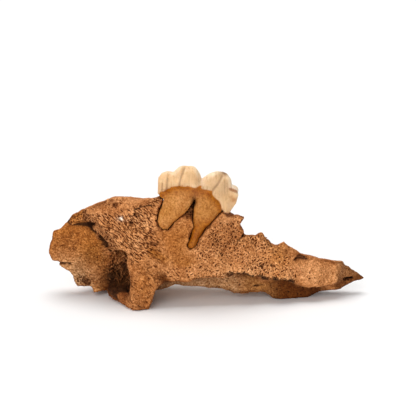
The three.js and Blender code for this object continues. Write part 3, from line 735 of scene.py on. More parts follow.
# Pigments, as linear red, green and blue.
TAN = (0.52, 0.205, 0.066)
PALE_TAN = (0.62, 0.27, 0.10)
HONEY = (0.45, 0.155, 0.03)
ORANGE_RUST = (0.30, 0.085, 0.004)
RUST = (0.34, 0.105, 0.024)
DARK_RUST = (0.13, 0.032, 0.003)
OCHRE = (0.46, 0.155, 0.028)
GOLD = (0.44, 0.15, 0.018)
UMBER = (0.20, 0.078, 0.024)
TIP_BROWN = (0.36, 0.15, 0.052)
KHAKI = (0.55, 0.29, 0.13)
KEEL_TAN = (0.41, 0.17, 0.045)
GREY_BROWN = (0.34, 0.155, 0.066)
# Painted shade: near black for the cracks, pores, gaps and recesses where shade falls.
SHADE_BLACK = (0.028, 0.009, 0.003)
CHALK = (0.70, 0.58, 0.44)
ENAMEL_BASE = (0.84, 0.53, 0.27)
# Painted highlight on the enamel.
ENAMEL_HIGHLIGHT = (0.95, 0.72, 0.47)
ENAMEL_GREY = (0.56, 0.37, 0.21)
CARAMEL = (0.53, 0.21, 0.042)
PALE_CARAMEL = (0.62, 0.27, 0.075)
DEEP_CARAMEL = (0.40, 0.115, 0.002)

# Stains, as pigment, amount, x, z, half its length, half its height and the degrees that it leans.
CHEEK_STAINS = [
    (RUST, 0.5, -29.6, 29.2, 6, 1.6, -8),
    (RUST, 0.6, -18.3, 30.3, 3.4, 3.2, 0),
    (RUST, 0.35, -30, 25.6, 4, 1.4, -35),
    (PALE_TAN, 0.9, -20.3, 27, 3.6, 2, -20),
    (OCHRE, 0.5, -20, 7, 3.5, 7, 0),
    (RUST, 0.45, -20.4, 1.4, 3, 1.6, 0),
    (RUST, 0.55, -6.5, 26.8, 1.1, 1.6, 0),
    (RUST, 0.45, 5, 20, 5.5, 5, 0),
    (RUST, 0.3, -9, 11.5, 4, 2.4, 0),
    (RUST, 0.35, -4, 11, 6, 1.8, 0),
    (RUST, 0.35, 14.5, 17.5, 4, 3, 0),
    # Beside the spike: partly painted shade where the wall turns under, partly a dark stain.
    (DARK_RUST, 1.0, -13.9, 9.6, 3, 1.5, -35),
    (HONEY, 0.7, 23, 15.4, 3.5, 4, 0),
    (PALE_TAN, 0.8, 8, 11.6, 11, 1.7, 0),
    (PALE_TAN, 1.0, 35.5, 8.7, 8, 3.2, -8),
    (PALE_TAN, 0.8, 7.5, 27.8, 4.5, 1.5, -6),
    (PALE_TAN, 0.5, -29.5, 32.8, 6, 1.2, 0),
    (DARK_RUST, 0.75, 18.8, 20, 2.2, 0.8, -42),
    (PALE_TAN, 0.8, 18, 19.1, 2.6, 0.35, -42)]
BOWL_STAINS = [
    (GOLD, 0.8, -38, 13.5, 5, 4.5, 0),
    (KHAKI, 0.9, -44, 7, 8, 5, -30),
    (RUST, 0.5, -48, 19.8, 2, 1, -30),
    (DARK_RUST, 0.4, -43.7, 17.6, 1.2, 0.6, 0),
    (RUST, 0.5, -50, 14.5, 1.6, 4, 0),
    (PALE_TAN, 0.5, -46, 12.5, 4.5, 3.5, 0),
    (PALE_TAN, 0.6, -37.5, 6.8, 2.6, 2.4, 0),
    (PALE_TAN, 0.5, -33.6, 14.3, 1.8, 2.4, 0)]


def tinted(base, layers):
    """Lays (colour, amount) layers over a base colour, one after another."""
    colour = np.tile(np.array(base), (len(layers[0][1]), 1))
    for pigment, amount in layers:
        amount = np.clip(amount, 0, 1)[:, None]
        colour = colour * (1 - amount) + np.array(pigment) * amount
    return np.concatenate([colour, np.ones((len(colour), 1))], 1)


def stains(places, x, z, where):
    """The layers for a list of stains, kept to where where is 1."""
    return [(pigment, amount * spot(x, z, *shape) * where) for pigment, amount, *shape in places]


def in_bowl(x, y, z, ny):
    """1 on the face of the eye socket's bowl, 0 elsewhere."""
    bowl = (1 - smoothstep(1.2, 3, np.abs(y - relief(ORBIT_FACE, x, z)))) * (1 - smoothstep(-26, -22, x))
    return bowl * (smoothstep(0.1, -0.3, ny) * (1 - on_cheek(x, y, z)))


def wall_layers(x, y, z, cheek, patchy):
    """The cheek wall's stains, with the crease under the molar and the crest in front of it."""
    crease = 1 - smoothstep(0.2, 2.4, along_path(CREASE, x, z)[0])
    crest = 1 - smoothstep(0.3, 1.1, along_path(CREST, x, z)[0])
    return [
        (RUST, 0.5 * smoothstep(0, 0.8, ripple(x, y + 30, z, 8))),
        (PALE_TAN, 0.5 * smoothstep(0.1, 0.9, -patchy)),
        (HONEY, 0.8 * within(SMOOTH_UNDER_ROOTS, x, z, 3) * cheek),
        *stains(CHEEK_STAINS, x, z, cheek),
        (ORANGE_RUST, 0.7 * crease * smoothstep(-0.9, 0.3, patchy) * cheek),
        (RUST, 0.6 * crest)]


def edge_layers(x, z, cheek, bowl, spongy):
    """The socket's fold, and the ledge's broken edge and foot."""
    edge = outline(CHEEK, x, z)
    fold = smoothstep(-37.5, -39, x) * smoothstep(24.4, 25.2, z) * (1 - cheek)
    rim = (1 - smoothstep(0.1, 0.5, np.abs(edge))) * cheek
    foot = smoothstep(-24.5, -26.5, x) * smoothstep(5.5, 3.5, z) * (1 - bowl) * smoothstep(-40, -36, x)
    return [
        (OCHRE, 0.7 * fold),
        (GREY_BROWN, 0.35 * spongy * smoothstep(-0.2, 0.6, edge) * (1 - 0.8 * fold)),
        (PALE_TAN, 0.7 * rim * smoothstep(-24, -25.5, x) * smoothstep(27, 24, z)),
        (RUST, 0.75 * foot)]


def snout_layers(x, z, off_face):
    """The keel, from behind the spike to the snout, and the tip."""
    keel = smoothstep(12, 8, z) * smoothstep(2, 3.4, off_face) * smoothstep(-20, -15, x)
    tip = smoothstep(41.1, 42.3, x)
    return [
        (KHAKI, 0.9 * keel * (1 - smoothstep(8, 14, x))),
        (KEEL_TAN, 0.8 * keel * smoothstep(8, 14, x)),
        (DARK_RUST, 0.95 * keel * smoothstep(16, 25, x)),
        (TIP_BROWN, 0.9 * tip),
        (DARK_RUST, 0.8 * tip * smoothstep(7.5, 5, z)),
        (DARK_RUST, 0.35 * smoothstep(45.5, 47.5, x))]


def dark_layers(x, y, z, off_face, behind, struts):
    """The dark lines, pores and gaps, as painted shade, with rust on the struts and in the recess."""
    scored = (1 - smoothstep(0.12, 0.32, scoring(x, z))) * smoothstep(19, 18, y)
    pore_row = smoothstep(-0.2, 0.1, ripple(x, 0, z, 0.95))
    pore_row *= 1 - smoothstep(0.7, 1.2, along_path(POROUS_BORDER, x, z)[0])
    pore_row *= smoothstep(4, 8, x) * smoothstep(29, 27, x) * (1 - smoothstep(5, 6, off_face))
    wander = 0.5 + 0.5 * ripple(x * 0.25, 3.1, z * 1.7, 1.3)
    crevice = 1 - smoothstep(0.5, 1, along_path(CREVICE, x, z)[0] / (0.8 + 2 * wander))
    pocket = within(POCKET, x, z, 1.3) * behind
    broken = within(RECESS, x, z, 0.5) * smoothstep(0.8, 1.8, off_face)
    fork = spot(x, z, -4.5, 33.2, 1.2, 2) * smoothstep(0.3, 1.2, off_face)  # between the roots
    beside_root = (1 - smoothstep(0.1, 0.38, molar_field(x, y, z))) * smoothstep(0.4, 1, off_face)
    # Painted shade in the cracks, the row of pores, the crevice, the pocket, the fork and round the roots.
    return [
        (SHADE_BLACK, 0.8 * scored),
        (SHADE_BLACK, 0.85 * pore_row),
        (SHADE_BLACK, 0.9 * crevice * behind * mix(1, 0.35, smoothstep(16, 13, z))),
        (RUST, 0.15 * struts),
        (SHADE_BLACK, 0.87 * pocket),
        (DARK_RUST, 0.45 * broken),
        (SHADE_BLACK, 0.95 * fork),
        (SHADE_BLACK, 0.85 * beside_root)]


def paint_bone(obj, clay):
    """Marks the mesh with what its pitting and its finish read."""
    mesh = obj.data
    at = millimetres(mesh)
    x, y, z = at.T
    outward = rows(mesh.vertices, "normal").astype(float)
    ny = outward[:, 1]
    off_face = y - cheek_face(x, z)
    behind = smoothstep(3.8, 4.6, off_face) * np.maximum(smoothstep(0.4, -0.1, ny), smoothstep(18, 16, y))
    bowl = in_bowl(x, y, z, ny)
    spongy = sponginess(x, y, z)
    struts = within(STRUTS, x, z, 1.4) * behind
    # The hollow mark is painted shade: how shut in each place is, near and far.
    close = shut_in(clay, at, outward, 1.3)
    wide = shut_in(clay, at, outward, 5)
    away = mix(0.3, 1, smoothstep(0.3, 2.2, molar_field(x, y, z))) * (1 - 0.6 * struts)
    mark(mesh, "porous", porosity(x, y, z))
    mark(mesh, "spongy", spongy)
    mark(mesh, "grain", along_grain(x, y, z))
    mark(mesh, "bowl", bowl)
    mark(mesh, "slotted", smoothstep(-12, -16, x))
    mark(mesh, "hollow", np.clip(1.6 * close + 0.8 * wide - 0.08, 0, 1) * away)
    # Painted highlight on sharp edges and knobs.
    mark(mesh, "ridge_highlight", smoothstep(0.08, 0.5, standing_out(clay, at, -outward, 1.6)))

    cheek = on_cheek(x, y, z)
    patchy = ripple(x + 50, y, z, 3.5)
    chalk = spot(x, z, -26.9, 27.7, 1.4, 0.6, 4) * cheek * smoothstep(-0.5, 0.1, patchy)
    mark(mesh, "tint", tinted(TAN, [
        *wall_layers(x, y, z, cheek, patchy),
        (OCHRE, 0.9 * bowl),
        *stains(BOWL_STAINS, x, z, bowl),
        *edge_layers(x, z, cheek, bowl, spongy),
        *snout_layers(x, z, off_face),
        *dark_layers(x, y, z, off_face, behind, struts),
        (CHALK, 0.85 * chalk)]))


def paint_struts(obj):
    """The struts are rusty where they stand near the opening, and carry painted shade inside the pocket."""
    x, y, z = millimetres(obj.data).T
    inside = within(POCKET, x, z, 1.5)
    # Inside the pocket, the darker colour and the hollow mark are painted shade.
    colours = tinted(PALE_TAN, [(RUST, 0.4 + 0.4 * ripple(x, y, z, 2)), (DARK_RUST, 0.6 * inside)])
    none = np.zeros(len(x))
    marks = obj.data.attributes
    marks["tint"].data.foreach_set("color", colours.astype(np.float32).ravel())
    for name, values in (("hollow", 0.5 * inside), ("spongy", none), ("porous", none)):
        marks[name].data.foreach_set("value", values.astype(np.float32))


def paint_molar(obj):
    """Marks where the roots are, and colours the enamel and the dentine."""
    mesh = obj.data
    x, y, z = millimetres(mesh).T
    crown, root = crown_field(x, y, z), root_field(x, y, z)
    is_root = smoothstep(-0.15, 0.25, crown - root)
    edge = outline(CUSPS, x, z)
    upper = smoothstep(36, 39.5, z + 0.35 * x)
    # Painted highlight along the top edge of the cusps.
    top_highlight = smoothstep(-1.5, -0.3, edge) * upper
    third = smoothstep(-2.5, 0, x)
    collar = np.maximum(1 - smoothstep(0.6, 2.6, crown), 0.9 * third * (1 - smoothstep(0.3, 1.5, edge)))
    collar = collar * is_root
    cheek_side = smoothstep(11.5, 9.5, y)
    groove = (1 - smoothstep(0.1, 0.5, nearest_path(GROOVES, x, z))) * cheek_side
    crack = 1 - smoothstep(0.25, 0.6, along_path(ENAMEL_CRACK, x, z)[0])
    mottle = ripple(x, y, z + 9, 3)
    enamel = tinted(ENAMEL_BASE, [
        (ENAMEL_GREY, 0.4 * third * smoothstep(35, 38, z)),
        # Painted shade near the neck.
        (ENAMEL_GREY, 0.2 * (1 - smoothstep(0.5, 1.6, np.abs(root)))),
        (ENAMEL_HIGHLIGHT, 0.85 * top_highlight),
        (UMBER, 0.5 * groove),
        # Painted shade in the valley between the cusps.
        (ENAMEL_GREY, 0.55 * spot(x, z, -2, 39.2, 1.7, 1.8) * cheek_side),
        (UMBER, 0.95 * spot(x, z, 5.2, 42, 1.3, 0.8, -25) * smoothstep(-2.4, -0.8, edge) * cheek_side),
        (RUST, 0.8 * crack * cheek_side),
        (OCHRE, 0.7 * spot(x, z, 8.2, 33.6, 0.9, 0.7) * cheek_side),
        (OCHRE, 0.4 * spot(x, z, 7.2, 34.6, 0.8, 0.5) * cheek_side)])
    dentine = tinted(CARAMEL, [
        (PALE_CARAMEL, 0.7 * smoothstep(-0.1, 0.7, mottle)),
        (PALE_CARAMEL, 0.6 * spot(x, z, -9.5, 34.5, 3, 3)),
        (DEEP_CARAMEL, 0.9 * smoothstep(30, 26, z - 0.3 * x) * smoothstep(-8, -6, x)),
        (PALE_CARAMEL, 0.6 * spot(x, z, -13, 27, 2, 1.6)),
        (DEEP_CARAMEL, 0.5 * smoothstep(0.4, 1, -mottle)),
        (DEEP_CARAMEL, collar),
        (RUST, 0.6 * spot(x, z, -3.8, 36.2, 2, 2)),
        # Painted shade in the fork between the roots.
        (SHADE_BLACK, 0.9 * spot(x, z, -4.3, 33.6, 0.8, 1.6))])
    mark(mesh, "root", is_root)
    mark(mesh, "tint", mix(enamel, dentine, is_root[:, None]))


# ------------------------------------------------------------------ node trees

class Nodes:
    """Adds nodes to a tree in the order that they are read."""

    def __init__(self, tree):
        self.tree = tree
        self.shading = tree.bl_idname == "ShaderNodeTree"

    def add(self, kind, inputs=None, **settings):
        node = self.tree.nodes.new(kind)
        for key, value in settings.items():
            setattr(node, key, value)
        for key, value in (inputs or {}).items():
            self.feed(value, node.inputs[key])
        return node

    def feed(self, value, socket):
        if isinstance(value, bpy.types.NodeSocket):
            self.tree.links.new(value, socket)
        elif value is not None:
            socket.default_value = value

    def math(self, operation, a, b=None, c=None):
        return self.add("ShaderNodeMath", {0: a, 1: b, 2: c}, operation=operation).outputs[0]

    def vector(self, operation, a, b=None):
        return self.add("ShaderNodeVectorMath", {0: a, 1: b}, operation=operation).outputs[0]

    def ramp(self, value, low, high, to_low=0.0, to_high=1.0):
        """A smooth step of value from low to high."""
        inputs = {"Value": value, "From Min": low, "From Max": high, "To Min": to_low, "To Max": to_high}
        return self.add("ShaderNodeMapRange", inputs, interpolation_type="SMOOTHSTEP").outputs["Result"]

    def noise(self, at, scale, detail=2.0, roughness=0.5, flat=False):
        inputs = {"Vector": at, "Scale": scale, "Detail": detail, "Roughness": roughness}
        return self.add("ShaderNodeTexNoise", inputs, noise_dimensions="2D" if flat else "3D").outputs[0]

    def mark(self, name, kind="number"):
        """A mark stored on the mesh: a number or a vector, or in a finish a colour too."""
        if self.shading:
            output = {"number": "Fac", "vector": "Vector", "colour": "Color"}[kind]
            return self.add("ShaderNodeAttribute", attribute_name=name).outputs[output]
        stored = {"number": "FLOAT", "vector": "FLOAT_VECTOR"}[kind]
        return self.add("GeometryNodeInputNamedAttribute", {"Name": name}, data_type=stored).outputs[0]

    def mix(self, factor, a, b, blend="MIX"):
        node = self.add("ShaderNodeMix", data_type="RGBA", blend_type=blend)
        self.feed(factor, node.inputs[0])
        self.feed(a, node.inputs[6])
        self.feed(b, node.inputs[7])
        return node.outputs[2]

    def stretched(self, at, scale):
        return self.vector("MULTIPLY", at, scale)

    def scaled(self, at, factor):
        out = self.vector("SCALE", at)
        self.feed(factor, out.node.inputs["Scale"])
        return out

    def push(self, at, scale, detail=2.0):
        """A soft random vector, up to about half either way."""
        noise = self.add("ShaderNodeTexNoise", {"Vector": at, "Scale": scale, "Detail": detail})
        return self.vector("SUBTRACT", noise.outputs["Color"], (0.5, 0.5, 0.5))

    def cells(self, at, spacing, output, feature="DISTANCE_TO_EDGE", flat=False):
        """A pattern of random cells: the distance to the nearest wall, or a colour to each cell."""
        inputs = {"Vector": at, "Scale": 1 / spacing, "Randomness": 1.0}
        settings = {"voronoi_dimensions": "2D" if flat else "3D", "feature": feature}
        return self.add("ShaderNodeTexVoronoi", inputs, **settings).outputs[output]


PIT_SPACING = 0.72  # millimetres across the grain
SLOT_SCALE = 2.8  # swells of noise to the millimetre across the grain
SPONGE_SPACING = 1.0


def drawn_askew(n, at, scale, amount):
    """The same place, pushed about by a soft noise."""
    return n.vector("ADD", at, n.stretched(n.push(at, scale), (amount, amount, amount)))


def pit_pattern(n, grain, porous, slotted):
    """1 in the pores and 0 on the bone between them: long slots where slotted is 1, round pits elsewhere.

    There are fewer where it is less porous. Mesh and finish share it."""
    at = drawn_askew(n, grain, 0.7, 1.0)
    wall = n.cells(at, PIT_SPACING, "Distance", flat=True)
    colour = n.cells(at, PIT_SPACING, "Color", "F1", flat=True)
    number = n.add("ShaderNodeSeparateXYZ", {0: colour}).outputs[0]
    patchy = n.ramp(n.noise(grain, 0.22, 2.0), 0.3, 0.7, -0.06, 0.1)
    closed = n.math("MULTIPLY_ADD", number, 0.2, patchy)
    closed = n.math("ADD", closed, n.math("MULTIPLY_ADD", porous, -0.32, 0.41))
    round_pits = n.ramp(n.math("SUBTRACT", wall, closed), 0.0, 0.11)
    long_way = n.stretched(drawn_askew(n, grain, 0.4, 0.35), (0.62, 1, 1))
    fibres = n.noise(long_way, SLOT_SCALE, 1.6, 0.5, flat=True)
    level = n.math("ADD", n.math("MULTIPLY_ADD", porous, -0.17, 0.67), n.math("MULTIPLY", patchy, 0.3))
    slots = n.ramp(n.math("SUBTRACT", fibres, level), -0.01, 0.06)
    return n.math("MULTIPLY_ADD", n.math("SUBTRACT", slots, round_pits), slotted, round_pits)


def sponge_pattern(n, place, spongy):
    """1 in the hollows of broken, spongy bone and 0 on its struts."""
    at = drawn_askew(n, place, 0.6, 1.2)
    wall = n.cells(at, SPONGE_SPACING, "Distance")
    closed = n.math("MULTIPLY_ADD", spongy, -0.4, 0.46)
    return n.ramp(n.math("SUBTRACT", wall, closed), 0.0, 0.12)


def bone_openings(n, place):
    """1 in the pores and in the hollows of broken bone, 0 elsewhere."""
    pits = pit_pattern(n, n.mark("grain", "vector"), n.mark("porous"), n.mark("slotted"))
    return n.math("MAXIMUM", pits, sponge_pattern(n, place, n.mark("spongy")))


def begin_tree(name, sizes):
    """The nodes of a geometry tree with the named inputs {name: kind}, its inputs and their identifiers."""
    tree = bpy.data.node_groups.new(name, "GeometryNodeTree")
    face = tree.interface
    face.new_socket("Geometry", in_out="INPUT", socket_type="NodeSocketGeometry")
    sockets = {}
    for size, kind in sizes.items():
        sockets[size] = face.new_socket(size, in_out="INPUT", socket_type="NodeSocket" + kind).identifier
    face.new_socket("Geometry", in_out="OUTPUT", socket_type="NodeSocketGeometry")
    n = Nodes(tree)
    return n, n.add("NodeGroupInput").outputs, sockets


def end_tree(n, geometry, material):
    done = n.add("GeometryNodeSetMaterial", {"Geometry": geometry, "Material": material})
    out = n.add("NodeGroupOutput")
    n.feed(done.outputs[0], out.inputs[0])


def pitting_tree(material):
    """Sinks the pores into the bone along its normals, and raises a fine grit all over it."""
    n, given, sockets = begin_tree("pitting", {"Pit depth": "Float", "Grit height": "Float"})
    place = n.scaled(n.add("GeometryNodeInputPosition").outputs[0], 1 / MM)
    sunk = n.math("MULTIPLY", bone_openings(n, place), given["Pit depth"])
    bumps = n.math("SUBTRACT", n.noise(place, 1.3, 3.0, 0.6), 0.5)
    raised = n.math("SUBTRACT", n.math("MULTIPLY", bumps, given["Grit height"]), sunk)
    offset = n.scaled(n.add("GeometryNodeInputNormal").outputs[0], raised)
    moved = n.add("GeometryNodeSetPosition", {"Geometry": given["Geometry"], "Offset": offset})
    whole = n.add("GeometryNodeRealizeInstances", {"Geometry": moved.outputs[0]})
    end_tree(n, whole.outputs[0], material)
    return n.tree, sockets


SMALLEST = 0.5  # of the scattered shapes, against the size that is given
LARGEST = 1.3
# In millimetres, at size 1.
BENDING = 0.9
STRUT_RADIUS = 0.17
STRUT_LENGTH = 2.2
CRUMB_RADIUS = 0.17


def scattering_tree(name, material, shape, lean):
    """Stands small shapes on the faces that it is given, each one turned, sized and bent in its own way."""
    n, given, sockets = begin_tree(name, {"Density": "Float", "Size": "Float", "Seed": "Int"})
    spread = {"Mesh": given["Geometry"], "Density": given["Density"], "Seed": given["Seed"]}
    points = n.add("GeometryNodeDistributePointsOnFaces", spread)
    turn = {0: (-lean, -lean, -math.pi), 1: (lean, lean, math.pi), "Seed": given["Seed"]}
    turned = n.add("FunctionNodeRandomValue", turn, data_type="FLOAT_VECTOR")
    turning = {0: points.outputs["Rotation"], 1: turned.outputs[0]}
    upright = n.add("FunctionNodeRotateRotation", turning, rotation_space="LOCAL")
    growth = {2: SMALLEST, 3: LARGEST, "Seed": given["Seed"]}
    grown = n.add("FunctionNodeRandomValue", growth, data_type="FLOAT")
    stood = n.add("GeometryNodeInstanceOnPoints", {
        "Points": points.outputs["Points"],
        "Instance": shape(n),
        "Rotation": upright.outputs[0],
        "Scale": n.math("MULTIPLY", grown.outputs[1], given["Size"])})
    whole = n.add("GeometryNodeRealizeInstances", {"Geometry": stood.outputs[0]})
    place = n.scaled(n.add("GeometryNodeInputPosition").outputs[0], 1 / MM)
    bent = n.scaled(n.push(place, 0.9, 1.0), n.math("MULTIPLY", given["Size"], BENDING * MM))
    moved = n.add("GeometryNodeSetPosition", {"Geometry": whole.outputs[0], "Offset": bent})
    smooth = n.add("GeometryNodeSetShadeSmooth", {"Geometry": moved.outputs[0]})
    end_tree(n, smooth.outputs[0], material)
    return n.tree, sockets


def strut_shape(n):
    """A thin, five-sided strut of bone."""
    rod = {"Vertices": 5, "Side Segments": 3, "Radius": STRUT_RADIUS * MM, "Depth": STRUT_LENGTH * MM}
    return n.add("GeometryNodeMeshCylinder", rod, fill_type="NGON").outputs["Mesh"]


def crumb_shape(n):
    grain = {"Radius": CRUMB_RADIUS * MM, "Subdivisions": 1}
    return n.add("GeometryNodeMeshIcoSphere", grain).outputs["Mesh"]


def patch_of(obj, name, wanted):
    """A copy of the faces where wanted, a rule on millimetres and normals, is true."""
    mesh = obj.data
    chosen = wanted(*face_centres(mesh).T, *rows(mesh.polygons, "normal").T)
    patch = bpy.data.objects.new(name, mesh.copy())
    patch.data.name = name
    bpy.context.scene.collection.objects.link(patch)
    bm = bmesh.new()
    bm.from_mesh(patch.data)
    bm.faces.ensure_lookup_table()
    bmesh.ops.delete(bm, geom=[bm.faces[i] for i in np.nonzero(~chosen)[0]], context="FACES")
    bm.to_mesh(patch.data)
    bm.free()
    return patch


def strut_ground(x, y, z, nx, ny, nz):
    """Inside the pocket and along the gap that leads into it, facing the cheek side."""
    off_face = y - cheek_face(x, z)
    in_pocket = (within(STRUTS, x, z, 1.2) + within(POCKET, x, z, 0.8) > 0.5) & (off_face > 4)
    in_gap = (along_path(CREVICE, x, z)[0] < 1.3) & (off_face > 4) & (x > -37)
    return (in_pocket | in_gap) & (ny < 0.2) & (y > 13) & (y < 24) & (z > 4)


def crumb_ground(x, y, z, nx, ny, nz):
    """Broken edges, the porous border, the wall's pitted parts and the spike's tip, where grains cling."""
    seen = (ny < -0.2) & (y < 19) & (z > 0.4) & (z < 31)
    return seen & ((sponginess(x, y, z) > 0.3) | (porosity(x, y, z) > 0.5) | (z < 5) & (x < -15))


def worth_refining(x, y, z):
    """Where the pores and the thin lines need a finer mesh."""
    seen = (y < 15) | (x < -30) & (y < 19)
    lined = (scoring(x, z) < 0.8) & (on_cheek(x, y, z) > 0.5)
    return (porosity(x, y, z) > 0.45) | (sponginess(x, y, z) > 0.4) & seen | lined


def rest_on_ground(mesh):
    """Lifts whatever dips under the surface that the jaw stands on up to it."""
    places = rows(mesh.vertices, "co")
    places[:, 2] = np.maximum(places[:, 2], 0)
    mesh.vertices.foreach_set("co", places.ravel())
    mesh.update()


def apply_tree(obj, tree, sockets, values):
    """Runs a tree on an object and keeps the result as its plain mesh."""
    modifier = obj.modifiers.new(tree.name, "NODES")
    modifier.node_group = tree
    for name, value in values.items():
        modifier[sockets[name]] = value
    evaluated = obj.evaluated_get(bpy.context.evaluated_depsgraph_get())
    mesh = bpy.data.meshes.new_from_object(evaluated)
    obj.modifiers.remove(modifier)
    old = obj.data
    obj.data = mesh
    mesh.name = obj.name
    bpy.data.meshes.remove(old)
    shade_smooth(mesh)
    rest_on_ground(mesh)


# ------------------------------------------------------------------ finishes

def new_material(name):
    """A material, its nodes and its shader."""
    material = bpy.data.materials.new(name)
    material.use_nodes = True
    return material, Nodes(material.node_tree), material.node_tree.nodes["Principled BSDF"]


def surface_place(n):
    """The place on the surface, in millimetres."""
    return n.scaled(n.add("ShaderNodeTexCoord").outputs["Object"], 1 / MM)


def washed(n, colour, washes):
    """Multiplies a colour by washes, given as (amount, red-green-blue), one after another."""
    for amount, wash in washes:
        colour = n.mix(amount, colour, (*wash, 1), "MULTIPLY")
    return colour


def emboss(n, shader, height, strength, distance):
    """Bumps a finish by a height, over a distance in millimetres."""
    bump = n.add("ShaderNodeBump", {"Height": height, "Strength": strength, "Distance": distance * MM})
    n.feed(bump.outputs[0], shader.inputs["Normal"])


def bone_finish():
    """Dry bone: mottled, streaked in the bowl, with painted highlights on its ridges and painted shade in
    its hollows and pores.
    """
    material, n, shader = new_material("fossil_bone")
    place = surface_place(n)
    bowl = n.mark("bowl")
    pit = bone_openings(n, place)
    fine = n.noise(place, 0.9, 4.0, 0.65)
    grit = n.noise(place, 2.0, 3.0, 0.65)
    streak = n.noise(n.stretched(place, (0.55, 0.7, 1.9)), 1.0, 4.0, 0.7)
    # The bone between the pores in the porous parts, where a highlight is painted.
    strut = n.math("MULTIPLY", n.math("SUBTRACT", 1.0, pit), n.ramp(n.mark("porous"), 0.3, 0.9))
    colour = washed(n, n.mark("tint", "colour"), [
        (n.ramp(n.noise(place, 0.16, 3.0, 0.6), 0.4, 0.65, 0.0, 0.5), (0.8, 0.68, 0.52)),
        (n.ramp(fine, 0.5, 0.7, 0.0, 0.9), (1.35, 1.47, 1.65)),
        (n.ramp(fine, 0.48, 0.3, 0.0, 0.8), (0.58, 0.45, 0.32)),
        (n.ramp(grit, 0.51, 0.64, 0.0, 1.0), (1.5, 1.65, 1.85)),
        (n.ramp(grit, 0.48, 0.35, 0.0, 1.0), (0.52, 0.41, 0.3)),
        (n.math("MULTIPLY", n.ramp(streak, 0.52, 0.66), bowl), (0.6, 0.48, 0.34)),
        (n.math("MULTIPLY", n.ramp(streak, 0.47, 0.34), bowl), (1.35, 1.45, 1.6)),
        # Painted highlights on the ridges and between the pores, then painted shade in the hollows and the
        # pores.
        (n.math("MULTIPLY", n.mark("ridge_highlight"), 0.5), (1.3, 1.4, 1.5)),
        (n.math("MULTIPLY", strut, 0.75), (1.35, 1.5, 1.7)),
        (n.math("MULTIPLY", n.mark("hollow"), 0.85), (0.3, 0.2, 0.13)),
        (n.math("MULTIPLY", pit, 0.95), (0.26, 0.17, 0.11))])
    n.feed(colour, shader.inputs["Base Color"])
    n.feed(n.ramp(fine, 0.3, 0.7, 0.92, 0.74), shader.inputs["Roughness"])
    shader.inputs["Specular IOR Level"].default_value = 0.12
    height = n.math("MULTIPLY_ADD", n.noise(place, 2.6, 4.0, 0.7), 0.35, n.math("MULTIPLY", pit, -0.6))
    emboss(n, shader, height, 0.6, 0.5)
    return material


def tooth_finish():
    """Satin enamel with upright lines, and mottled dentine on the roots."""
    material, n, shader = new_material("enamel_and_root")
    place = surface_place(n)
    root = n.mark("root")
    tint = n.mark("tint", "colour")
    lines = n.noise(n.stretched(place, (1.9, 0.6, 0.13)), 1.0, 3.0, 0.55)
    cloud = n.noise(place, 0.45, 4.0, 0.6)
    grit = n.noise(place, 1.6, 3.0, 0.6)
    mottle = n.noise(place, 0.42, 4.0, 0.62)
    enamel = washed(n, tint, [
        (n.ramp(lines, 0.54, 0.7, 0.0, 0.5), (0.62, 0.50, 0.38)),
        (n.ramp(lines, 0.45, 0.3, 0.0, 0.6), (1.12, 1.2, 1.3)),
        (n.ramp(cloud, 0.5, 0.72, 0.0, 0.5), (1.12, 1.16, 1.25)),
        (n.ramp(grit, 0.5, 0.34, 0.0, 0.5), (0.82, 0.76, 0.68))])
    dentine = washed(n, tint, [
        (n.ramp(mottle, 0.45, 0.68, 0.0, 0.7), (0.8, 0.66, 0.45)),
        (n.ramp(grit, 0.51, 0.64, 0.0, 0.9), (1.25, 1.35, 1.5)),
        (n.ramp(grit, 0.49, 0.36, 0.0, 0.9), (0.68, 0.56, 0.35))])
    n.feed(n.mix(root, enamel, dentine), shader.inputs["Base Color"])
    n.feed(n.ramp(root, 0.0, 1.0, 0.36, 0.55), shader.inputs["Roughness"])
    shader.inputs["Specular IOR Level"].default_value = 0.22
    shader.inputs["Subsurface Weight"].default_value = 0.12
    shader.inputs["Subsurface Radius"].default_value = (0.8, 0.4, 0.2)
    shader.inputs["Subsurface Scale"].default_value = 0.6 * MM
    height = n.math("MULTIPLY_ADD", lines, 0.35, n.math("MULTIPLY", n.noise(place, 1.5, 3.0, 0.6), 0.3))
    emboss(n, shader, height, 0.3, 0.3)
    return material


# ------------------------------------------------------------------ making the pieces

PIT_DEPTH = 0.32
GRIT_HEIGHT = 0.42
# How many to the square metre, how large, and the seed that places them.
STRUT_SPREAD = {"Density": 0.7e6, "Size": 1.25, "Seed": 4}
CRUMB_SPREAD = {"Density": 1.0e6, "Size": 1.0, "Seed": 9}
# How far they may lean from upright, in radians.
STRUT_LEAN = 1.0
CRUMB_LEAN = 3.0


def make_bone(finish):
    clay = model_bone()
    bone = mesh_object("weathered_bone", *skin(clay))
    refine(bone, worth_refining)
    paint_bone(bone, clay)
    apply_tree(bone, *pitting_tree(finish), {"Pit depth": PIT_DEPTH * MM, "Grit height": GRIT_HEIGHT * MM})
    return bone


def make_struts(bone, finish):
    """Thin struts of bone standing in the pocket and in the gap that leads into it."""
    struts = patch_of(bone, "pocket_struts", strut_ground)
    apply_tree(struts, *scattering_tree("struts", finish, strut_shape, STRUT_LEAN), STRUT_SPREAD)
    paint_struts(struts)
    return struts


def make_crumbs(bone, finish):
    """Grains that cling to the broken and porous bone."""
    crumbs = patch_of(bone, "bone_crumbs", crumb_ground)
    apply_tree(crumbs, *scattering_tree("crumbs", finish, crumb_shape, CRUMB_LEAN), CRUMB_SPREAD)
    return crumbs


def make_molar():
    molar = mesh_object("enamelled_molar", *skin(model_molar()))
    paint_molar(molar)
    molar.data.materials.append(tooth_finish())
    return molar


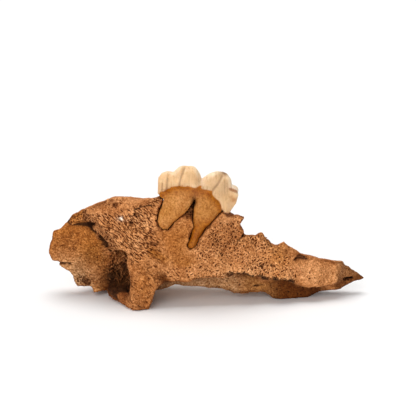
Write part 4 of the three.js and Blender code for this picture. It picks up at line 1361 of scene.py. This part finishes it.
fossil_bone = bone_finish()
bone = make_bone(fossil_bone)
struts = make_struts(bone, fossil_bone)
crumbs = make_crumbs(bone, fossil_bone)
molar = make_molar()
for piece, node, slot in (
        (bone, "jaw_bone", "bone"),
        (struts, "jaw_bone", "bone"),
        (crumbs, "jaw_bone", "bone"),
        (molar, "molar", "tooth")):
    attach(piece, "root")
    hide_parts(node)


# ------------------------------------------------------------------ floor, light and camera

CAMERA_PLACE = Vector((0.0, -261.2, 89.7))  # in the jaw's own millimetres
CAMERA_PITCH = 12.3  # degrees below the level
FOCAL_PIXELS = 874
FRAME_PIXELS = 416
SENSOR = 36
NEAREST_SEEN = 0.01
WORLD_LIGHT = 0.32
BACKDROP_LIGHT = 1.05  # low down behind the jaw
FLOOR_SIZE = 40
PAPER_WHITE = (0.93, 0.925, 0.92, 1)
# Soft lights, as (name, the way that they shine, how wide in degrees, strength).
LIGHTS = [
    ("key", (0.1, -0.2, -1), 45, 2.0),
    ("fill", (0.4, 1, -0.5), 50, 1.35)]

scene = bpy.context.scene
scene.view_settings.view_transform = "Standard"


def lay_floor():
    bpy.ops.mesh.primitive_plane_add(size=FLOOR_SIZE)
    floor = bpy.context.object
    floor.name = "floor"
    paper, _, shader = new_material("white_paper")
    shader.inputs["Base Color"].default_value = PAPER_WHITE
    shader.inputs["Roughness"].default_value = 0.9
    shader.inputs["Specular IOR Level"].default_value = 0.1
    floor.data.materials.append(paper)


def light_backdrop():
    """Soft light from all round, brighter low down behind the jaw."""
    world = bpy.data.worlds.new("studio")
    scene.world = world
    world.use_nodes = True
    n = Nodes(world.node_tree)
    way = n.add("ShaderNodeSeparateXYZ", {0: n.add("ShaderNodeTexCoord").outputs["Generated"]})
    behind = n.ramp(way.outputs[1], 0.3, 0.8)
    low = n.ramp(way.outputs[2], 0.5, 0.1)
    backdrop = n.math("MULTIPLY", behind, low)
    strength = n.math("MULTIPLY_ADD", backdrop, BACKDROP_LIGHT - WORLD_LIGHT, WORLD_LIGHT)
    background = world.node_tree.nodes["Background"]
    background.inputs["Color"].default_value = (1, 1, 1, 1)
    n.feed(strength, background.inputs["Strength"])


def soft_sun(name, towards, spread, strength):
    """A light from far off, spread over an angle so that its shadows are soft."""
    data = bpy.data.lights.new(name, "SUN")
    data.angle = math.radians(spread)
    data.energy = strength
    light = bpy.data.objects.new(name, data)
    scene.collection.objects.link(light)
    light.rotation_euler = Vector(towards).to_track_quat("-Z", "Y").to_euler()


def set_camera():
    data = bpy.data.cameras.new("camera")
    camera = bpy.data.objects.new("camera", data)
    scene.collection.objects.link(camera)
    data.sensor_width = SENSOR
    data.lens = SENSOR * FOCAL_PIXELS / FRAME_PIXELS
    data.clip_start = NEAREST_SEEN
    camera.location = (CAMERA_PLACE - Vector(ORIGIN)) * MM
    camera.rotation_euler = (math.radians(90 - CAMERA_PITCH), 0, 0)
    scene.camera = camera


lay_floor()
light_backdrop()
for name, towards, spread, strength in LIGHTS:
    soft_sun(name, towards, spread, strength)
set_camera()
